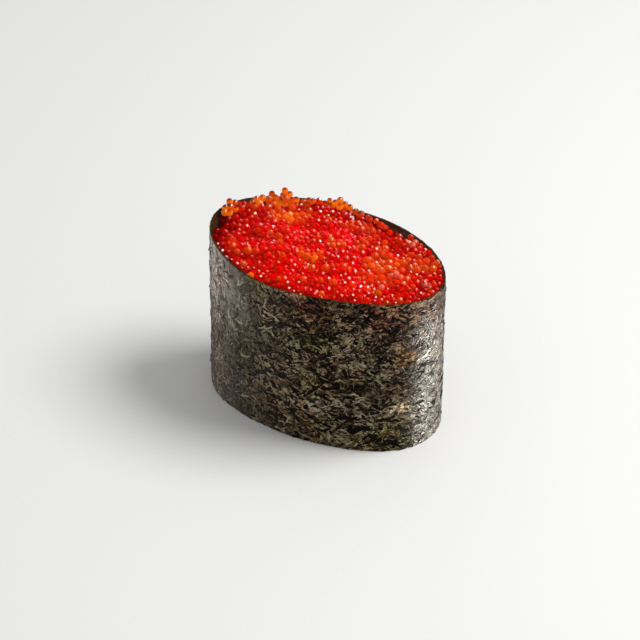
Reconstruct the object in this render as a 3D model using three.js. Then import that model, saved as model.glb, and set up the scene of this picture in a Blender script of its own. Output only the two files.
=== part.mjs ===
// Gunkan sushi: pressed rice in an upright oval band of nori, with a heap of small fish roe on top of the rice.
// Millimetres. +X runs along the long side, +Z is up, and the underside stands on Z = 0.
// The nori is one flat strip wound round into the band, a little more than a turn, so that its ends lap.
// The rice and the roe fill the band from wall to wall, and the roe stands a little above the rim in places.

import * as THREE from 'three';

// ---------- Driving dimensions ----------

// Outer face of the band at the base and at the rim. A squareness of 2 is an ellipse, and more is boxier.
const BASE_OVAL = { halfLength: 24.7, halfWidth: 15.15, squareness: 2.2 };
const RIM_OVAL = { halfLength: 25.5, halfWidth: 15.95, squareness: 1.94 };
const RIM_HEIGHT = 35.8;
const NORI_THICKNESS = 0.4;
const PIECE_GAP = 0.3; // clearance between pieces that touch

// Where the strip starts and ends, as seen from above, and how far its ends lap.
const STRIP_START_ANGLE = THREE.MathUtils.degToRad(152);
const LAP_ANGLE = THREE.MathUtils.degToRad(42);
const LAP_RAMP_ANGLE = THREE.MathUtils.degToRad(40); // over which the outer end climbs on to the inner one
const LAP_GAP = 0.1;

// Unevenness of a band wound by hand, as waves round the oval: size of each wave's cosine and sine, and its turns.
const BASE_WAVES = [{ turns: 3, cosine: 0.23, sine: -0.2 }, { turns: 4, cosine: 0.25, sine: 0.18 }];
const RIM_WAVES = [{ turns: 3, cosine: 0.18, sine: 0.19 }, { turns: 4, cosine: 0.03, sine: 0.14 }];
const RIM_RISE_WAVES = [{ turns: 1, cosine: -0.21, sine: -0.09 }, { turns: 3, cosine: -0.45, sine: 0 }];
const WALL_DENTS = { depth: 0.12, turns: 5, rises: 1.5 }; // shallow dents between the base and the rim

// The rice under the roe.
const RICE_HEIGHT = 23.5;
const RICE_CROWN = 0.8; // how much higher the rice is in its middle than at its wall
const RICE_EDGE_ROUNDING = 1.1; // of the lower edge
const RICE_LUMPS = { height: 0.25, turns: 17 }; // grains along the lower edge

// The roe's top, measured from the rim: its middle, its edge, and where the edge dips or climbs.
const ROE_CROWN = 1.3;
const ROE_EDGE = -0.45;
const ROE_EDGE_SWELLS = [
	{ angle: 58, spread: 15, rise: -1.5 }, // dip beside the crest
	{ angle: 112, spread: 30, rise: 1.1 }, // crest along the back
	{ angle: 180, spread: 24, rise: -2 }, // dip at the far end
	{ angle: -122, spread: 26, rise: -0.6 }, // slack beside it
];
const ROE_RIPPLES = [
	{ height: 0.28, alongX: 0.42, alongY: 0.31, phase: 0.4 },
	{ height: 0.22, alongX: -0.27, alongY: 0.74, phase: 2.1 },
	{ height: 0.16, alongX: 0.95, alongY: -0.52, phase: 4.4 },
];
// Clumps of eggs that stand up out of the heap, each with a rounded top and a foot of twice its radius.
const ROE_CLUMPS = [
	{ x: -23, y: 3.4, rise: 2.9, radius: 1.3 },
	{ x: -19.3, y: 8.4, rise: 1.2, radius: 1.5 },
	{ x: -15.5, y: 10.8, rise: 2.9, radius: 1.1 },
	{ x: -10.1, y: 12.6, rise: 0.8, radius: 1.4 },
	{ x: -5.4, y: 13.7, rise: 1.3, radius: 1.2 },
];

// Facets.
const BAND_STEPS_PER_TURN = 84;
const BAND_ROWS = 5;
const ROE_SECTORS = 96;
const ROE_RINGS = { lower: 3, wall: 2, upper: 19 };
const RICE_SECTORS = 60;
const RICE_RINGS = { lower: 4, wall: 5, upper: 4 };

const FULL_TURN = 2 * Math.PI;
const NORI_SURFACE = { color: 0x23241c, roughness: 0.55, metalness: 0 };
const RICE_SURFACE = { color: 0xf0ece0, roughness: 0.45, metalness: 0 };
const ROE_SURFACE = { color: 0xd92a08, roughness: 0.2, metalness: 0 };

// ---------- The oval wall ----------

const waveSum = (waves, angle) =>
	waves.reduce((sum, w) => sum + w.cosine * Math.cos(w.turns * angle) + w.sine * Math.sin(w.turns * angle), 0);

function ovalRadius(oval, angle) {
	const along = Math.abs(Math.cos(angle) / oval.halfLength) ** oval.squareness;
	const across = Math.abs(Math.sin(angle) / oval.halfWidth) ** oval.squareness;
	return (along + across) ** (-1 / oval.squareness);
}

// Distance from the axis to the band's outer face; share is 0 at the base and 1 at the rim.
function wallRadius(angle, share) {
	const base = ovalRadius(BASE_OVAL, angle) + waveSum(BASE_WAVES, angle);
	const rim = ovalRadius(RIM_OVAL, angle) + waveSum(RIM_WAVES, angle);
	const dent = Math.sin(WALL_DENTS.turns * angle + WALL_DENTS.rises * FULL_TURN * share) * Math.sin(Math.PI * share);
	return THREE.MathUtils.lerp(base, rim, share) - WALL_DENTS.depth * dent;
}

// A point of the wall, moved inwards by depth, square to the oval.
function wallPoint(angle, share, depth) {
	const step = 1e-3;
	const at = (a) => new THREE.Vector2(Math.cos(a), Math.sin(a)).multiplyScalar(wallRadius(a, share));
	const along = at(angle + step).sub(at(angle - step)).normalize();
	return at(angle).add(new THREE.Vector2(-along.y, along.x).multiplyScalar(depth));
}

const rimHeight = (angle) => RIM_HEIGHT + waveSum(RIM_RISE_WAVES, angle);

function reshape(geometry, moved) {
	const position = geometry.getAttribute('position');
	for (let i = 0; i < position.count; i++) {
		const [x, y, z] = moved(position.getX(i), position.getY(i), position.getZ(i));
		position.setXYZ(i, x, y, z);
	}
	geometry.computeVertexNormals();
	return geometry;
}

// ---------- Nori band ----------

// The strip starts as a flat box, as long and as high as 1, whose thickness is real, and is wound clockwise.
function noriBand() {
	const windAngle = FULL_TURN + LAP_ANGLE;
	const steps = Math.round((BAND_STEPS_PER_TURN * windAngle) / FULL_TURN);
	const strip = new THREE.BoxGeometry(1, NORI_THICKNESS, 1, steps, 1, BAND_ROWS);
	return reshape(strip, (along, across, up) => {
		const wound = (along + 0.5) * windAngle;
		const angle = STRIP_START_ANGLE - wound;
		const share = up + 0.5;
		const climb = THREE.MathUtils.smoothstep(wound, FULL_TURN - LAP_RAMP_ANGLE, FULL_TURN);
		const depth = NORI_THICKNESS / 2 - across - climb * (NORI_THICKNESS + LAP_GAP);
		const point = wallPoint(angle, share, depth);
		return [point.x, point.y, share * rimHeight(angle)];
	});
}

// ---------- Fillings that reach the wall ----------

// A round of radius 1 and height 1, whose rings are then pushed out to the wall and up to the two surfaces.
// lower and upper give a surface's height at an angle and a share of the way out from the axis.
function filling(sectors, rings, lower, upper) {
	const profile = [];
	for (let i = 0; i <= rings.lower; i++) {
		profile.push(new THREE.Vector2(i / rings.lower, 0));
	}
	for (let i = 1; i < rings.wall; i++) {
		profile.push(new THREE.Vector2(1, i / rings.wall));
	}
	for (let i = rings.upper; i >= 0; i--) {
		profile.push(new THREE.Vector2(i / rings.upper, 1));
	}
	const round = new THREE.LatheGeometry(profile, sectors).rotateX(Math.PI / 2);
	return reshape(round, (x, y, up) => {
		const out = Math.min(Math.hypot(x, y), 1);
		const angle = out > 1e-6 ? Math.atan2(y, x) : 0;
		const edgeHeight = THREE.MathUtils.lerp(lower(angle, 1), upper(angle, 1), up);
		const edgeShare = THREE.MathUtils.clamp(edgeHeight / rimHeight(angle), 0, 1);
		const edge = wallPoint(angle, edgeShare, NORI_THICKNESS + PIECE_GAP);
		const height = THREE.MathUtils.lerp(lower(angle, out), upper(angle, out), up);
		return [edge.x * out, edge.y * out, height];
	});
}

// ---------- Rice ----------

const riceTop = (angle, out) => RICE_HEIGHT + RICE_CROWN * (1 - out ** 2);

function riceUnderside(angle, out) {
	const lump = RICE_LUMPS.height * (1 + Math.sin(RICE_LUMPS.turns * angle)) / 2;
	return (RICE_EDGE_ROUNDING + lump) * THREE.MathUtils.smoothstep(out, 0.8, 1);
}

// ---------- Roe ----------

function roeEdge(angle) {
	return ROE_EDGE_SWELLS.reduce((level, swell) => {
		const turned = angle - THREE.MathUtils.degToRad(swell.angle);
		const away = THREE.MathUtils.radToDeg(Math.atan2(Math.sin(turned), Math.cos(turned)));
		return level + swell.rise * Math.exp(-((away / swell.spread) ** 2));
	}, ROE_EDGE);
}

function roeTop(angle, out) {
	const edge = wallPoint(angle, 1, NORI_THICKNESS + PIECE_GAP);
	const [x, y] = [edge.x * out, edge.y * out];
	const heap = ROE_CROWN * (1 - out ** 2) + roeEdge(angle) * out ** 3;
	const ripples = ROE_RIPPLES.reduce((sum, r) => sum + r.height * Math.sin(r.alongX * x + r.alongY * y + r.phase), 0);
	const clumps = ROE_CLUMPS.reduce((sum, clump) => {
		const away = Math.hypot(x - clump.x, y - clump.y) / clump.radius;
		return sum + clump.rise * (1 - THREE.MathUtils.smoothstep(away, 0.3, 2));
	}, 0);
	return rimHeight(angle) * out + RIM_HEIGHT * (1 - out) + heap + ripples + clumps;
}

const roeUnderside = (angle, out) => riceTop(angle, out) + PIECE_GAP;

// ---------- The whole ----------

function solid(name, geometry, surface) {
	const mesh = new THREE.Mesh(geometry, new THREE.MeshStandardMaterial(surface));
	mesh.name = name;
	return mesh;
}

const piece = new THREE.Group();
piece.add(
	solid('nori_band', noriBand(), NORI_SURFACE),
	solid('rice_block', filling(RICE_SECTORS, RICE_RINGS, riceUnderside, riceTop), RICE_SURFACE),
	solid('roe_heap', filling(ROE_SECTORS, ROE_RINGS, roeUnderside, roeTop), ROE_SURFACE),
);

// The origin is under the middle of the whole.
const bounds = new THREE.Box3().setFromObject(piece);
const middle = bounds.getCenter(new THREE.Vector3());
piece.position.set(-middle.x, -middle.y, -bounds.min.z);

const gunkan = new THREE.Group();
gunkan.add(piece);

export default gunkan;
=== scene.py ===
"""Looks of one gunkan sushi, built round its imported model.

An oval band of felted nori stands round pressed rice, and a heap of small fish eggs fills it to the rim.
Sizes are in millimetres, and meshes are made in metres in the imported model's own frame.
"""

import logging
import math
from collections.abc import Callable, Sequence
from dataclasses import dataclass, field
from enum import Enum

import bpy
import numpy as np
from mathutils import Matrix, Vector
from mathutils.bvhtree import BVHTree


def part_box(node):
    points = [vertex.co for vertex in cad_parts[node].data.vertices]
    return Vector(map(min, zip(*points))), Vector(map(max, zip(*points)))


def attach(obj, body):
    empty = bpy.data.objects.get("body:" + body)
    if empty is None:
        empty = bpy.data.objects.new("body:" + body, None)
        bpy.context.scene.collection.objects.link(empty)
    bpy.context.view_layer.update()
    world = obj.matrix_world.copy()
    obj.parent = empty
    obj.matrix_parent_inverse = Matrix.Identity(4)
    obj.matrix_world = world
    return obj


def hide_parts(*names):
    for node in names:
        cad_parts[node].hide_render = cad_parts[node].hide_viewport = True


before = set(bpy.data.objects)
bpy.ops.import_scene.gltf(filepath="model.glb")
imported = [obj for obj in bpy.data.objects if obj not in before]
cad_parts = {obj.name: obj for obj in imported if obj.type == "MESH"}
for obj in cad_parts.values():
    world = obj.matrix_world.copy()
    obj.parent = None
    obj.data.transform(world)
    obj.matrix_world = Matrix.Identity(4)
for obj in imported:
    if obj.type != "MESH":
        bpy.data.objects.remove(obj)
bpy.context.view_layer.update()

MM = 0.001
BODY = "root"

Array = np.ndarray
Colour = tuple[float, float, float, float]
Triple = tuple[float, float, float]
Limits = tuple[float, float]

TINY = 1e-6

log = logging.getLogger("gunkan")


class Node(Enum):
    """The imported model's nodes, which the finished pieces stand for."""

    NORI = "nori_band"
    RICE = "rice_block"
    ROE = "roe_heap"


class Slot(Enum):
    """The material slots."""

    NORI = "nori"
    RICE = "rice"
    ROE = "roe"


# The finished pieces of each node, so that a lamp can be told which of them it lights.
PIECES = {node: bpy.data.collections.new(node.value + "_pieces") for node in Node}


# ---------- Numbers and colours ----------


def smoothstep(value: Array, low: float, high: float) -> Array:
    """A smooth rise from 0 at low to 1 at high."""
    share = np.clip((value - low) / (high - low), 0, 1)
    return share * share * (3 - 2 * share)


def display_colour(code: str) -> Colour:
    """Turns a display colour such as "#4a3f38" into linear red, green, blue and alpha.

    Args:
        code: six hexadecimal digits after a hash.

    Returns:
        The linear colour, with an alpha of 1.
    """
    parts = [int(code[i : i + 2], 16) / 255 for i in (1, 3, 5)]
    linear = [p / 12.92 if p <= 0.04045 else ((p + 0.055) / 1.055) ** 2.4 for p in parts]
    return (linear[0], linear[1], linear[2], 1.0)


# ---------- Node graphs ----------


def find_socket(sockets: bpy.types.bpy_prop_collection, key: int | str) -> bpy.types.NodeSocket:
    """Finds a node's socket.

    Args:
        sockets: the node's inputs or outputs.
        key: its place in the list, its identifier or its name.

    Returns:
        The first socket that fits.
    """
    if isinstance(key, int):
        return sockets[key]
    for socket in sockets:
        if socket.identifier == key:
            return socket
    return sockets[key]


class Value:
    """One output of a node, with arithmetic that adds Math nodes to its tree."""

    def __init__(self, graph: "Graph", socket: bpy.types.NodeSocket) -> None:
        """Keeps the socket and its graph."""
        self.graph = graph
        self.socket = socket

    def other(self, name: str) -> "Value":
        """Another output of the same node."""
        return Value(self.graph, find_socket(self.socket.node.outputs, name))

    def __add__(self, term: "Term") -> "Value":
        """The sum."""
        return self.graph.math("ADD", self, term)

    def __radd__(self, term: "Term") -> "Value":
        """The sum, with a number first."""
        return self.graph.math("ADD", term, self)

    def __sub__(self, term: "Term") -> "Value":
        """The difference."""
        return self.graph.math("SUBTRACT", self, term)

    def __rsub__(self, term: "Term") -> "Value":
        """The difference, with a number first."""
        return self.graph.math("SUBTRACT", term, self)

    def __mul__(self, term: "Term") -> "Value":
        """The product."""
        return self.graph.math("MULTIPLY", self, term)

    def __rmul__(self, term: "Term") -> "Value":
        """The product, with a number first."""
        return self.graph.math("MULTIPLY", term, self)

    def __pow__(self, term: "Term") -> "Value":
        """The power."""
        return self.graph.math("POWER", self, term)

    def between(self, low: float, high: float) -> "Value":
        """A smooth rise from 0 at low to 1 at high."""
        inputs = {"Value": self, "From Min": low, "From Max": high}
        return self.graph.node("ShaderNodeMapRange", {"interpolation_type": "SMOOTHSTEP"}, inputs)


Term = Value | float
Given = Value | float | int | str | Sequence[float] | bpy.types.ID


class Graph:
    """A node tree that is filled by expressions on its values."""

    HALF = (0.5, 0.5, 0.5)
    MEASURES = ("DISTANCE", "DOT_PRODUCT")
    STROKE_SWING = 2.8  # radians that the strokes' directions differ by, from one cell to another at most
    STROKE_LAYERS = 40.0  # how far apart in the noise the cells' strokes are read

    def __init__(self, tree: bpy.types.NodeTree) -> None:
        """Keeps the tree."""
        self.tree = tree

    def node(
        self,
        kind: str,
        settings: dict[str, object] | None = None,
        inputs: dict[int | str, Given] | None = None,
        output: int | str = 0,
    ) -> Value:
        """Adds a node.

        Args:
            kind: the node's type.
            settings: its properties, which are set first. The stops are a colour ramp's places and colours.
            inputs: numbers or links for its sockets, by place, identifier or name.
            output: the socket that is handed back.

        Returns:
            That output, as a value.
        """
        node = self.tree.nodes.new(kind)
        for name, setting in (settings or {}).items():
            if name == "stops":
                self._set_stops(node.color_ramp, setting)
            else:
                setattr(node, name, setting)
        for key, given in (inputs or {}).items():
            socket = find_socket(node.inputs, key)
            if isinstance(given, Value):
                self.tree.links.new(given.socket, socket)
            else:
                socket.default_value = given
        return Value(self, find_socket(node.outputs, output))

    @staticmethod
    def _set_stops(ramp: bpy.types.ColorRamp, stops: Sequence[tuple[float, Colour]]) -> None:
        """Gives a colour ramp its stops.

        Args:
            ramp: the ramp.
            stops: the place and the colour of each stop.
        """
        while len(ramp.elements) < len(stops):
            ramp.elements.new(1.0)
        for element, (place, colour) in zip(ramp.elements, stops):
            element.position = place
            element.color = colour

    def math(self, operation: str, *terms: Term) -> Value:
        """A Math node on the terms."""
        return self.node("ShaderNodeMath", {"operation": operation}, dict(enumerate(terms)))

    def vector(self, operation: str, first: Given, second: Given | None = None) -> Value:
        """A Vector Math node.

        Args:
            operation: what it works out.
            first: a vector.
            second: another vector, a scale, or nothing where one vector is enough.

        Returns:
            A vector, or a number where the operation measures something.
        """
        inputs = {0: first}
        if second is not None:
            inputs["Scale" if operation == "SCALE" else 1] = second
        output = "Value" if operation in self.MEASURES else 0
        return self.node("ShaderNodeVectorMath", {"operation": operation}, inputs, output)

    def blend(self, factor: Term, first: Given, second: Given, mode: str = "MIX") -> Value:
        """Mixes two colours.

        Args:
            factor: 0 for the first colour, 1 for the second.
            first: a colour or a link.
            second: a colour or a link.
            mode: the way of mixing.

        Returns:
            The mixed colour.
        """
        settings = {"data_type": "RGBA", "blend_type": mode}
        inputs = {"Factor_Float": factor, "A_Color": first, "B_Color": second}
        return self.node("ShaderNodeMix", settings, inputs, "Result_Color")

    def noise(self, place: Value, per_mm: float, detail: float = 2.0) -> Value:
        """Fractal noise between 0 and 1.

        Args:
            place: where it is read, in millimetres.
            per_mm: how many swells there are to a millimetre.
            detail: how many finer layers are added.

        Returns:
            The noise's value. Its other output "Color" is a vector of three such values.
        """
        return self.node("ShaderNodeTexNoise", None, {"Vector": place, "Scale": per_mm, "Detail": detail})

    def cells(self, place: Value, per_mm: Term, randomness: float = 1.0) -> Value:
        """Voronoi cells.

        Args:
            place: where they are read, in millimetres.
            per_mm: how many cells there are to a millimetre.
            randomness: 0 for a plain lattice, 1 for scattered cells.

        Returns:
            The distance from a cell's middle, in cells. The other output "Color" differs from cell to cell.
        """
        inputs = {"Vector": place, "Scale": per_mm, "Randomness": randomness}
        return self.node("ShaderNodeTexVoronoi", None, inputs)

    def warped(self, place: Value, per_mm: float, reach: float) -> Value:
        """Shifts places by a slow noise, so that what is drawn there wanders.

        Args:
            place: the places, in millimetres.
            per_mm: how many swells the shift has to a millimetre.
            reach: how far it shifts, in millimetres.

        Returns:
            The shifted places.
        """
        drift = self.vector("SUBTRACT", self.noise(place, per_mm).other("Color"), self.HALF)
        return self.vector("ADD", place, self.vector("SCALE", drift, 2 * reach))

    def triple(self, x: Term, y: Term, z: Term) -> Value:
        """A vector of three numbers."""
        return self.node("ShaderNodeCombineXYZ", None, {0: x, 1: y, 2: z})

    def parts(self, vector: Value) -> list[Value]:
        """A vector's three numbers."""
        split = self.node("ShaderNodeSeparateXYZ", None, {0: vector})
        return [split.other(axis) for axis in "XYZ"]

    def strokes(self, place: Value, per_mm: float, length: float, width: float, lean: Term = 0.0) -> Value:
        """Noise drawn out into strokes, whose direction changes from cell to cell.

        Args:
            place: where it is read, on a flat sheet, in millimetres.
            per_mm: how many cells there are to a millimetre.
            length: how long the strokes are, in millimetres.
            width: how wide they are.
            lean: the middle of their directions, in radians from the sheet's length.

        Returns:
            A value between 0 and 1.
        """
        x, y, _ = self.parts(place)
        draw, layer, _ = self.parts(self.cells(place, per_mm).other("Color"))
        angle = (draw - 0.5) * self.STROKE_SWING + lean
        cosine, sine = self.math("COSINE", angle), self.math("SINE", angle)
        along = (x * cosine + y * sine) * (1 / length)
        across = (y * cosine - x * sine) * (1 / width)
        drawn = self.triple(along, across, layer * self.STROKE_LAYERS)
        return self.noise(drawn, per_mm=1.0, detail=1.0)


class MaterialGraph(Graph):
    """The node tree of a new material."""

    def __init__(self, name: str) -> None:
        """Makes an empty material.

        Args:
            name: the material's name.
        """
        self.material = bpy.data.materials.new(name)
        self.material.use_nodes = True
        self.material.node_tree.nodes.clear()
        super().__init__(self.material.node_tree)

    def place(self) -> Value:
        """The point that is shaded, in millimetres."""
        coordinates = self.node("ShaderNodeTexCoord", output="Object")
        return self.vector("SCALE", coordinates, 1 / MM)

    def attribute(self, name: str) -> Value:
        """A number that the mesh carries."""
        return self.node("ShaderNodeAttribute", {"attribute_name": name}, output="Fac")

    def bump(self, height: Value, depth: float) -> Value:
        """A bump whose height of 1 stands depth millimetres high."""
        inputs = {"Height": height, "Distance": depth * MM, "Strength": 1.0}
        return self.node("ShaderNodeBump", None, inputs)

    def surface(self, **inputs: Given) -> Value:
        """A Principled surface. Its sockets' names are given with underscores for blanks."""
        named = {name.replace("_", " "): given for name, given in inputs.items()}
        return self.node("ShaderNodeBsdfPrincipled", None, named)

    def mixed(self, share: Term, first: Value, second: Value) -> Value:
        """Mixes two surfaces. The share is that of the second."""
        return self.node("ShaderNodeMixShader", None, {0: share, 1: first, 2: second})

    def finish(self, surface: Value) -> bpy.types.Material:
        """Wires a surface to the output.

        Args:
            surface: the whole surface.

        Returns:
            The material.
        """
        output = self.tree.nodes.new("ShaderNodeOutputMaterial")
        self.tree.links.new(surface.socket, output.inputs["Surface"])
        return self.material


class GeometryGraph(Graph):
    """A Geometry Nodes tree with named inputs, which ends in Realize Instances and Set Material."""

    SOCKETS = {
        int: "NodeSocketInt",
        float: "NodeSocketFloat",
        bpy.types.Material: "NodeSocketMaterial",
    }

    def __init__(self, name: str, **inputs: float | int | bpy.types.ID) -> None:
        """Makes the tree.

        Args:
            name: the tree's name.
            inputs: its named inputs and their values. One of them is the Finish.
        """
        super().__init__(bpy.data.node_groups.new(name, "GeometryNodeTree"))
        interface = self.tree.interface
        interface.new_socket("Geometry", in_out="INPUT", socket_type="NodeSocketGeometry")
        interface.new_socket("Geometry", in_out="OUTPUT", socket_type="NodeSocketGeometry")
        self.given = {key.replace("_", " "): value for key, value in inputs.items()}
        for key, value in self.given.items():
            interface.new_socket(key, in_out="INPUT", socket_type=self.SOCKETS[type(value)])
        self.entry = self.node("NodeGroupInput", output="Geometry")

    def input(self, name: str) -> Value:
        """One of the named inputs."""
        return self.entry.other(name)

    def place(self) -> Value:
        """Each point's place, in millimetres."""
        return self.vector("SCALE", self.node("GeometryNodeInputPosition"), 1 / MM)

    def attribute(self, name: str, kind: str = "FLOAT") -> Value:
        """A number or a vector that the geometry carries."""
        return self.node("GeometryNodeInputNamedAttribute", {"data_type": kind}, {"Name": name})

    def store(
        self,
        geometry: Value,
        name: str,
        value: Term,
        domain: str = "POINT",
        kind: str = "FLOAT",
    ) -> Value:
        """Keeps a number or a vector with the geometry.

        Args:
            geometry: what it is kept with.
            name: the attribute's name.
            value: the number or vector.
            domain: what has one each, such as a point or an instance.
            kind: the attribute's type.

        Returns:
            The geometry, with the attribute.
        """
        settings = {"data_type": kind, "domain": domain}
        inputs = {"Geometry": geometry, "Name": name, "Value": value}
        return self.node("GeometryNodeStoreNamedAttribute", settings, inputs)

    def chance(self, low: Term, high: Term, draw: int) -> Value:
        """A random number between two limits, one for each point.

        Args:
            low: the lower limit.
            high: the upper limit.
            draw: which of the tree's draws this is. The tree's Seed is added to it.

        Returns:
            The number.
        """
        inputs = {"Min_001": low, "Max_001": high, "Seed": self.input("Seed") + draw}
        return self.node("FunctionNodeRandomValue", {"data_type": "FLOAT"}, inputs, "Value_001")

    def turned(self, rotation: Value, x: Term, y: Term, z: Term) -> Value:
        """Turns a rotation further, about its own axes.

        Args:
            rotation: the rotation so far.
            x: the turn about X, in radians.
            y: the turn about Y.
            z: the turn about Z.

        Returns:
            The new rotation.
        """
        turn = self.node("FunctionNodeEulerToRotation", None, {"Euler": self.triple(x, y, z)})
        settings = {"rotation_space": "LOCAL"}
        return self.node("FunctionNodeRotateRotation", settings, {"Rotation": rotation, "Rotate By": turn})

    def moved(self, geometry: Value, offset: Value) -> Value:
        """Moves each point by an offset in millimetres."""
        inputs = {"Geometry": geometry, "Offset": self.vector("SCALE", offset, MM)}
        return self.node("GeometryNodeSetPosition", None, inputs)

    def close(self, geometry: Value, smooth: bool = True) -> None:
        """Ends the tree: realizes the instances, and sets the shading and the Finish.

        Args:
            geometry: what the tree has made.
            smooth: whether it is shaded smooth.
        """
        real = self.node("GeometryNodeRealizeInstances", None, {"Geometry": geometry})
        shaded = self.node("GeometryNodeSetShadeSmooth", None, {"Geometry": real, "Shade Smooth": smooth})
        inputs = {"Geometry": shaded, "Material": self.input("Finish")}
        finished = self.node("GeometryNodeSetMaterial", None, inputs)
        output = self.tree.nodes.new("NodeGroupOutput")
        self.tree.links.new(finished.socket, output.inputs["Geometry"])

    def grow(self, name: str, source: bpy.types.Object, keep_source: bool = False) -> bpy.types.Object:
        """Runs the tree on an object.

        Args:
            name: the new object's name.
            source: the object whose geometry goes into the tree.
            keep_source: whether the source stays.

        Returns:
            A new object with a plain mesh, without modifiers.
        """
        modifier = source.modifiers.new(self.tree.name, "NODES")
        modifier.node_group = self.tree
        for item in self.tree.interface.items_tree:
            if item.in_out == "INPUT" and item.name in self.given:
                modifier[item.identifier] = self.given[item.name]
        depsgraph = bpy.context.evaluated_depsgraph_get()
        mesh = bpy.data.meshes.new_from_object(source.evaluated_get(depsgraph), depsgraph=depsgraph)
        source.modifiers.remove(modifier)
        if not keep_source:
            bpy.data.objects.remove(source)
        mesh.name = name
        return add_object(name, mesh)


# ---------- Meshes ----------


def add_object(name: str, data: bpy.types.ID) -> bpy.types.Object:
    """Puts a new object in the scene.

    Args:
        name: the object's name.
        data: its mesh, lamp or camera.

    Returns:
        The new object.
    """
    made = bpy.data.objects.new(name, data)
    bpy.context.scene.collection.objects.link(made)
    return made


def mesh_object(name: str, points: Array, faces: Sequence[Sequence[int]]) -> bpy.types.Object:
    """Makes a smooth mesh.

    Args:
        name: the object's name.
        points: its vertices, in millimetres.
        faces: its faces, as lists of vertices.

    Returns:
        The new object.
    """
    mesh = bpy.data.meshes.new(name)
    mesh.from_pydata((np.asarray(points) * MM).tolist(), [], faces)
    if faces:
        mesh.shade_smooth()
    return add_object(name, mesh)


def store_numbers(target: bpy.types.Object, name: str, numbers: Array) -> None:
    """Keeps one number with each vertex of a mesh."""
    attribute = target.data.attributes.new(name, "FLOAT", "POINT")
    attribute.data.foreach_set("value", np.asarray(numbers, np.float32))


def grid_faces(rows: int, columns: int) -> list[tuple[int, ...]]:
    """Quads between the rows of a grid whose rows close on themselves.

    Args:
        rows: how many rows there are.
        columns: how many vertices a row has. They are numbered along each row.

    Returns:
        The quads, facing away from the axis when rows rise and columns run anticlockwise.
    """
    faces = []
    for row in range(rows - 1):
        low, high = row * columns, (row + 1) * columns
        for i in range(columns):
            j = (i + 1) % columns
            faces.append((low + i, low + j, high + j, high + i))
    return faces


def settle(piece: bpy.types.Object, node: Node, slot: Slot) -> None:
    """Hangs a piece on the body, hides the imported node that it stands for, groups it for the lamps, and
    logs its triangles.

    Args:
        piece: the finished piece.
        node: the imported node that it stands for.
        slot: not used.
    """
    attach(piece, BODY)
    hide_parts(node.value)
    PIECES[node].objects.link(piece)
    triangles = sum(len(face.vertices) - 2 for face in piece.data.polygons)
    log.info("%s: %d triangles", piece.name, triangles)


# ---------- The oval wall ----------


@dataclass(frozen=True)
class Wave:
    """One wave round the oval."""

    turns: int
    cosine: float
    sine: float

    def at(self, angle: Array) -> Array:
        """The wave's height at an angle."""
        return self.cosine * np.cos(self.turns * angle) + self.sine * np.sin(self.turns * angle)


@dataclass(frozen=True)
class Oval:
    """An oval. A squareness of 2 is an ellipse, and more is boxier."""

    half_length: float
    half_width: float
    squareness: float
    waves: tuple[Wave, ...]

    def radius(self, angle: Array) -> Array:
        """Distance from the oval's axis to its line.

        Args:
            angle: the angle round the axis.

        Returns:
            The distance, in millimetres.
        """
        along = np.abs(np.cos(angle) / self.half_length) ** self.squareness
        across = np.abs(np.sin(angle) / self.half_width) ** self.squareness
        return (along + across) ** (-1 / self.squareness) + sum(wave.at(angle) for wave in self.waves)


@dataclass
class OvalWall:
    """The band's outer face, between the oval of its base and that of its rim."""

    base: Oval = Oval(24.7, 15.15, 2.2, (Wave(3, 0.23, -0.2), Wave(4, 0.25, 0.18)))
    rim: Oval = Oval(25.5, 15.95, 1.94, (Wave(3, 0.18, 0.19), Wave(4, 0.03, 0.14)))
    height: float = 35.8
    rises: tuple[Wave, ...] = (Wave(1, -0.21, -0.09), Wave(3, -0.45, 0.0))
    dent_depth: float = 0.12
    dent_turns: int = 5
    dent_rises: float = 1.5
    axis: tuple[float, float] = (0.0, 0.0)
    steps_round: int = 361

    def radius(self, angle: Array, share: Array) -> Array:
        """Distance from the axis to the wall.

        Args:
            angle: the angle round the axis.
            share: 0 at the base and 1 at the rim.

        Returns:
            The distance, in millimetres.
        """
        wave = np.sin(self.dent_turns * angle + self.dent_rises * math.tau * share)
        dent = wave * np.sin(math.pi * share)
        smooth = self.base.radius(angle) * (1 - share) + self.rim.radius(angle) * share
        return smooth - self.dent_depth * dent

    def point(self, angle: Array, share: Array, depth: Array) -> tuple[Array, Array]:
        """A point of the wall, moved inwards square to the oval.

        Args:
            angle: the angle round the axis.
            share: 0 at the base and 1 at the rim.
            depth: how far it is moved inwards.

        Returns:
            Its x and y.
        """
        step = 1e-3
        before, after = angle - step, angle + step
        along_x = self.radius(after, share) * np.cos(after) - self.radius(before, share) * np.cos(before)
        along_y = self.radius(after, share) * np.sin(after) - self.radius(before, share) * np.sin(before)
        size = np.hypot(along_x, along_y)
        radius = self.radius(angle, share)
        x = radius * np.cos(angle) - along_y / size * depth
        y = radius * np.sin(angle) + along_x / size * depth
        return x + self.axis[0], y + self.axis[1]

    def rim_height(self, angle: Array) -> Array:
        """Height of the rim at an angle."""
        return self.height + sum(wave.at(angle) for wave in self.rises)

    def polar(self, x: Array, y: Array) -> tuple[Array, Array]:
        """Distance from the axis, and angle round it."""
        x, y = x - self.axis[0], y - self.axis[1]
        return np.hypot(x, y), np.arctan2(y, x)

    def reach(self, angle: Array, depth: float) -> Array:
        """How far out from the axis a thing may lie at the rim, to stay inside the wall.

        Args:
            angle: the direction that it lies in, from the axis.
            depth: how far inside the wall it stays.

        Returns:
            The distance from the axis.
        """
        ring = self.point(np.linspace(-math.pi, math.pi, self.steps_round), 1.0, depth)
        distance, direction = self.polar(*ring)
        order = np.argsort(direction)
        return np.interp(angle, direction[order], distance[order], period=math.tau)


Surface = Callable[[Array, Array], Array]


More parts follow.
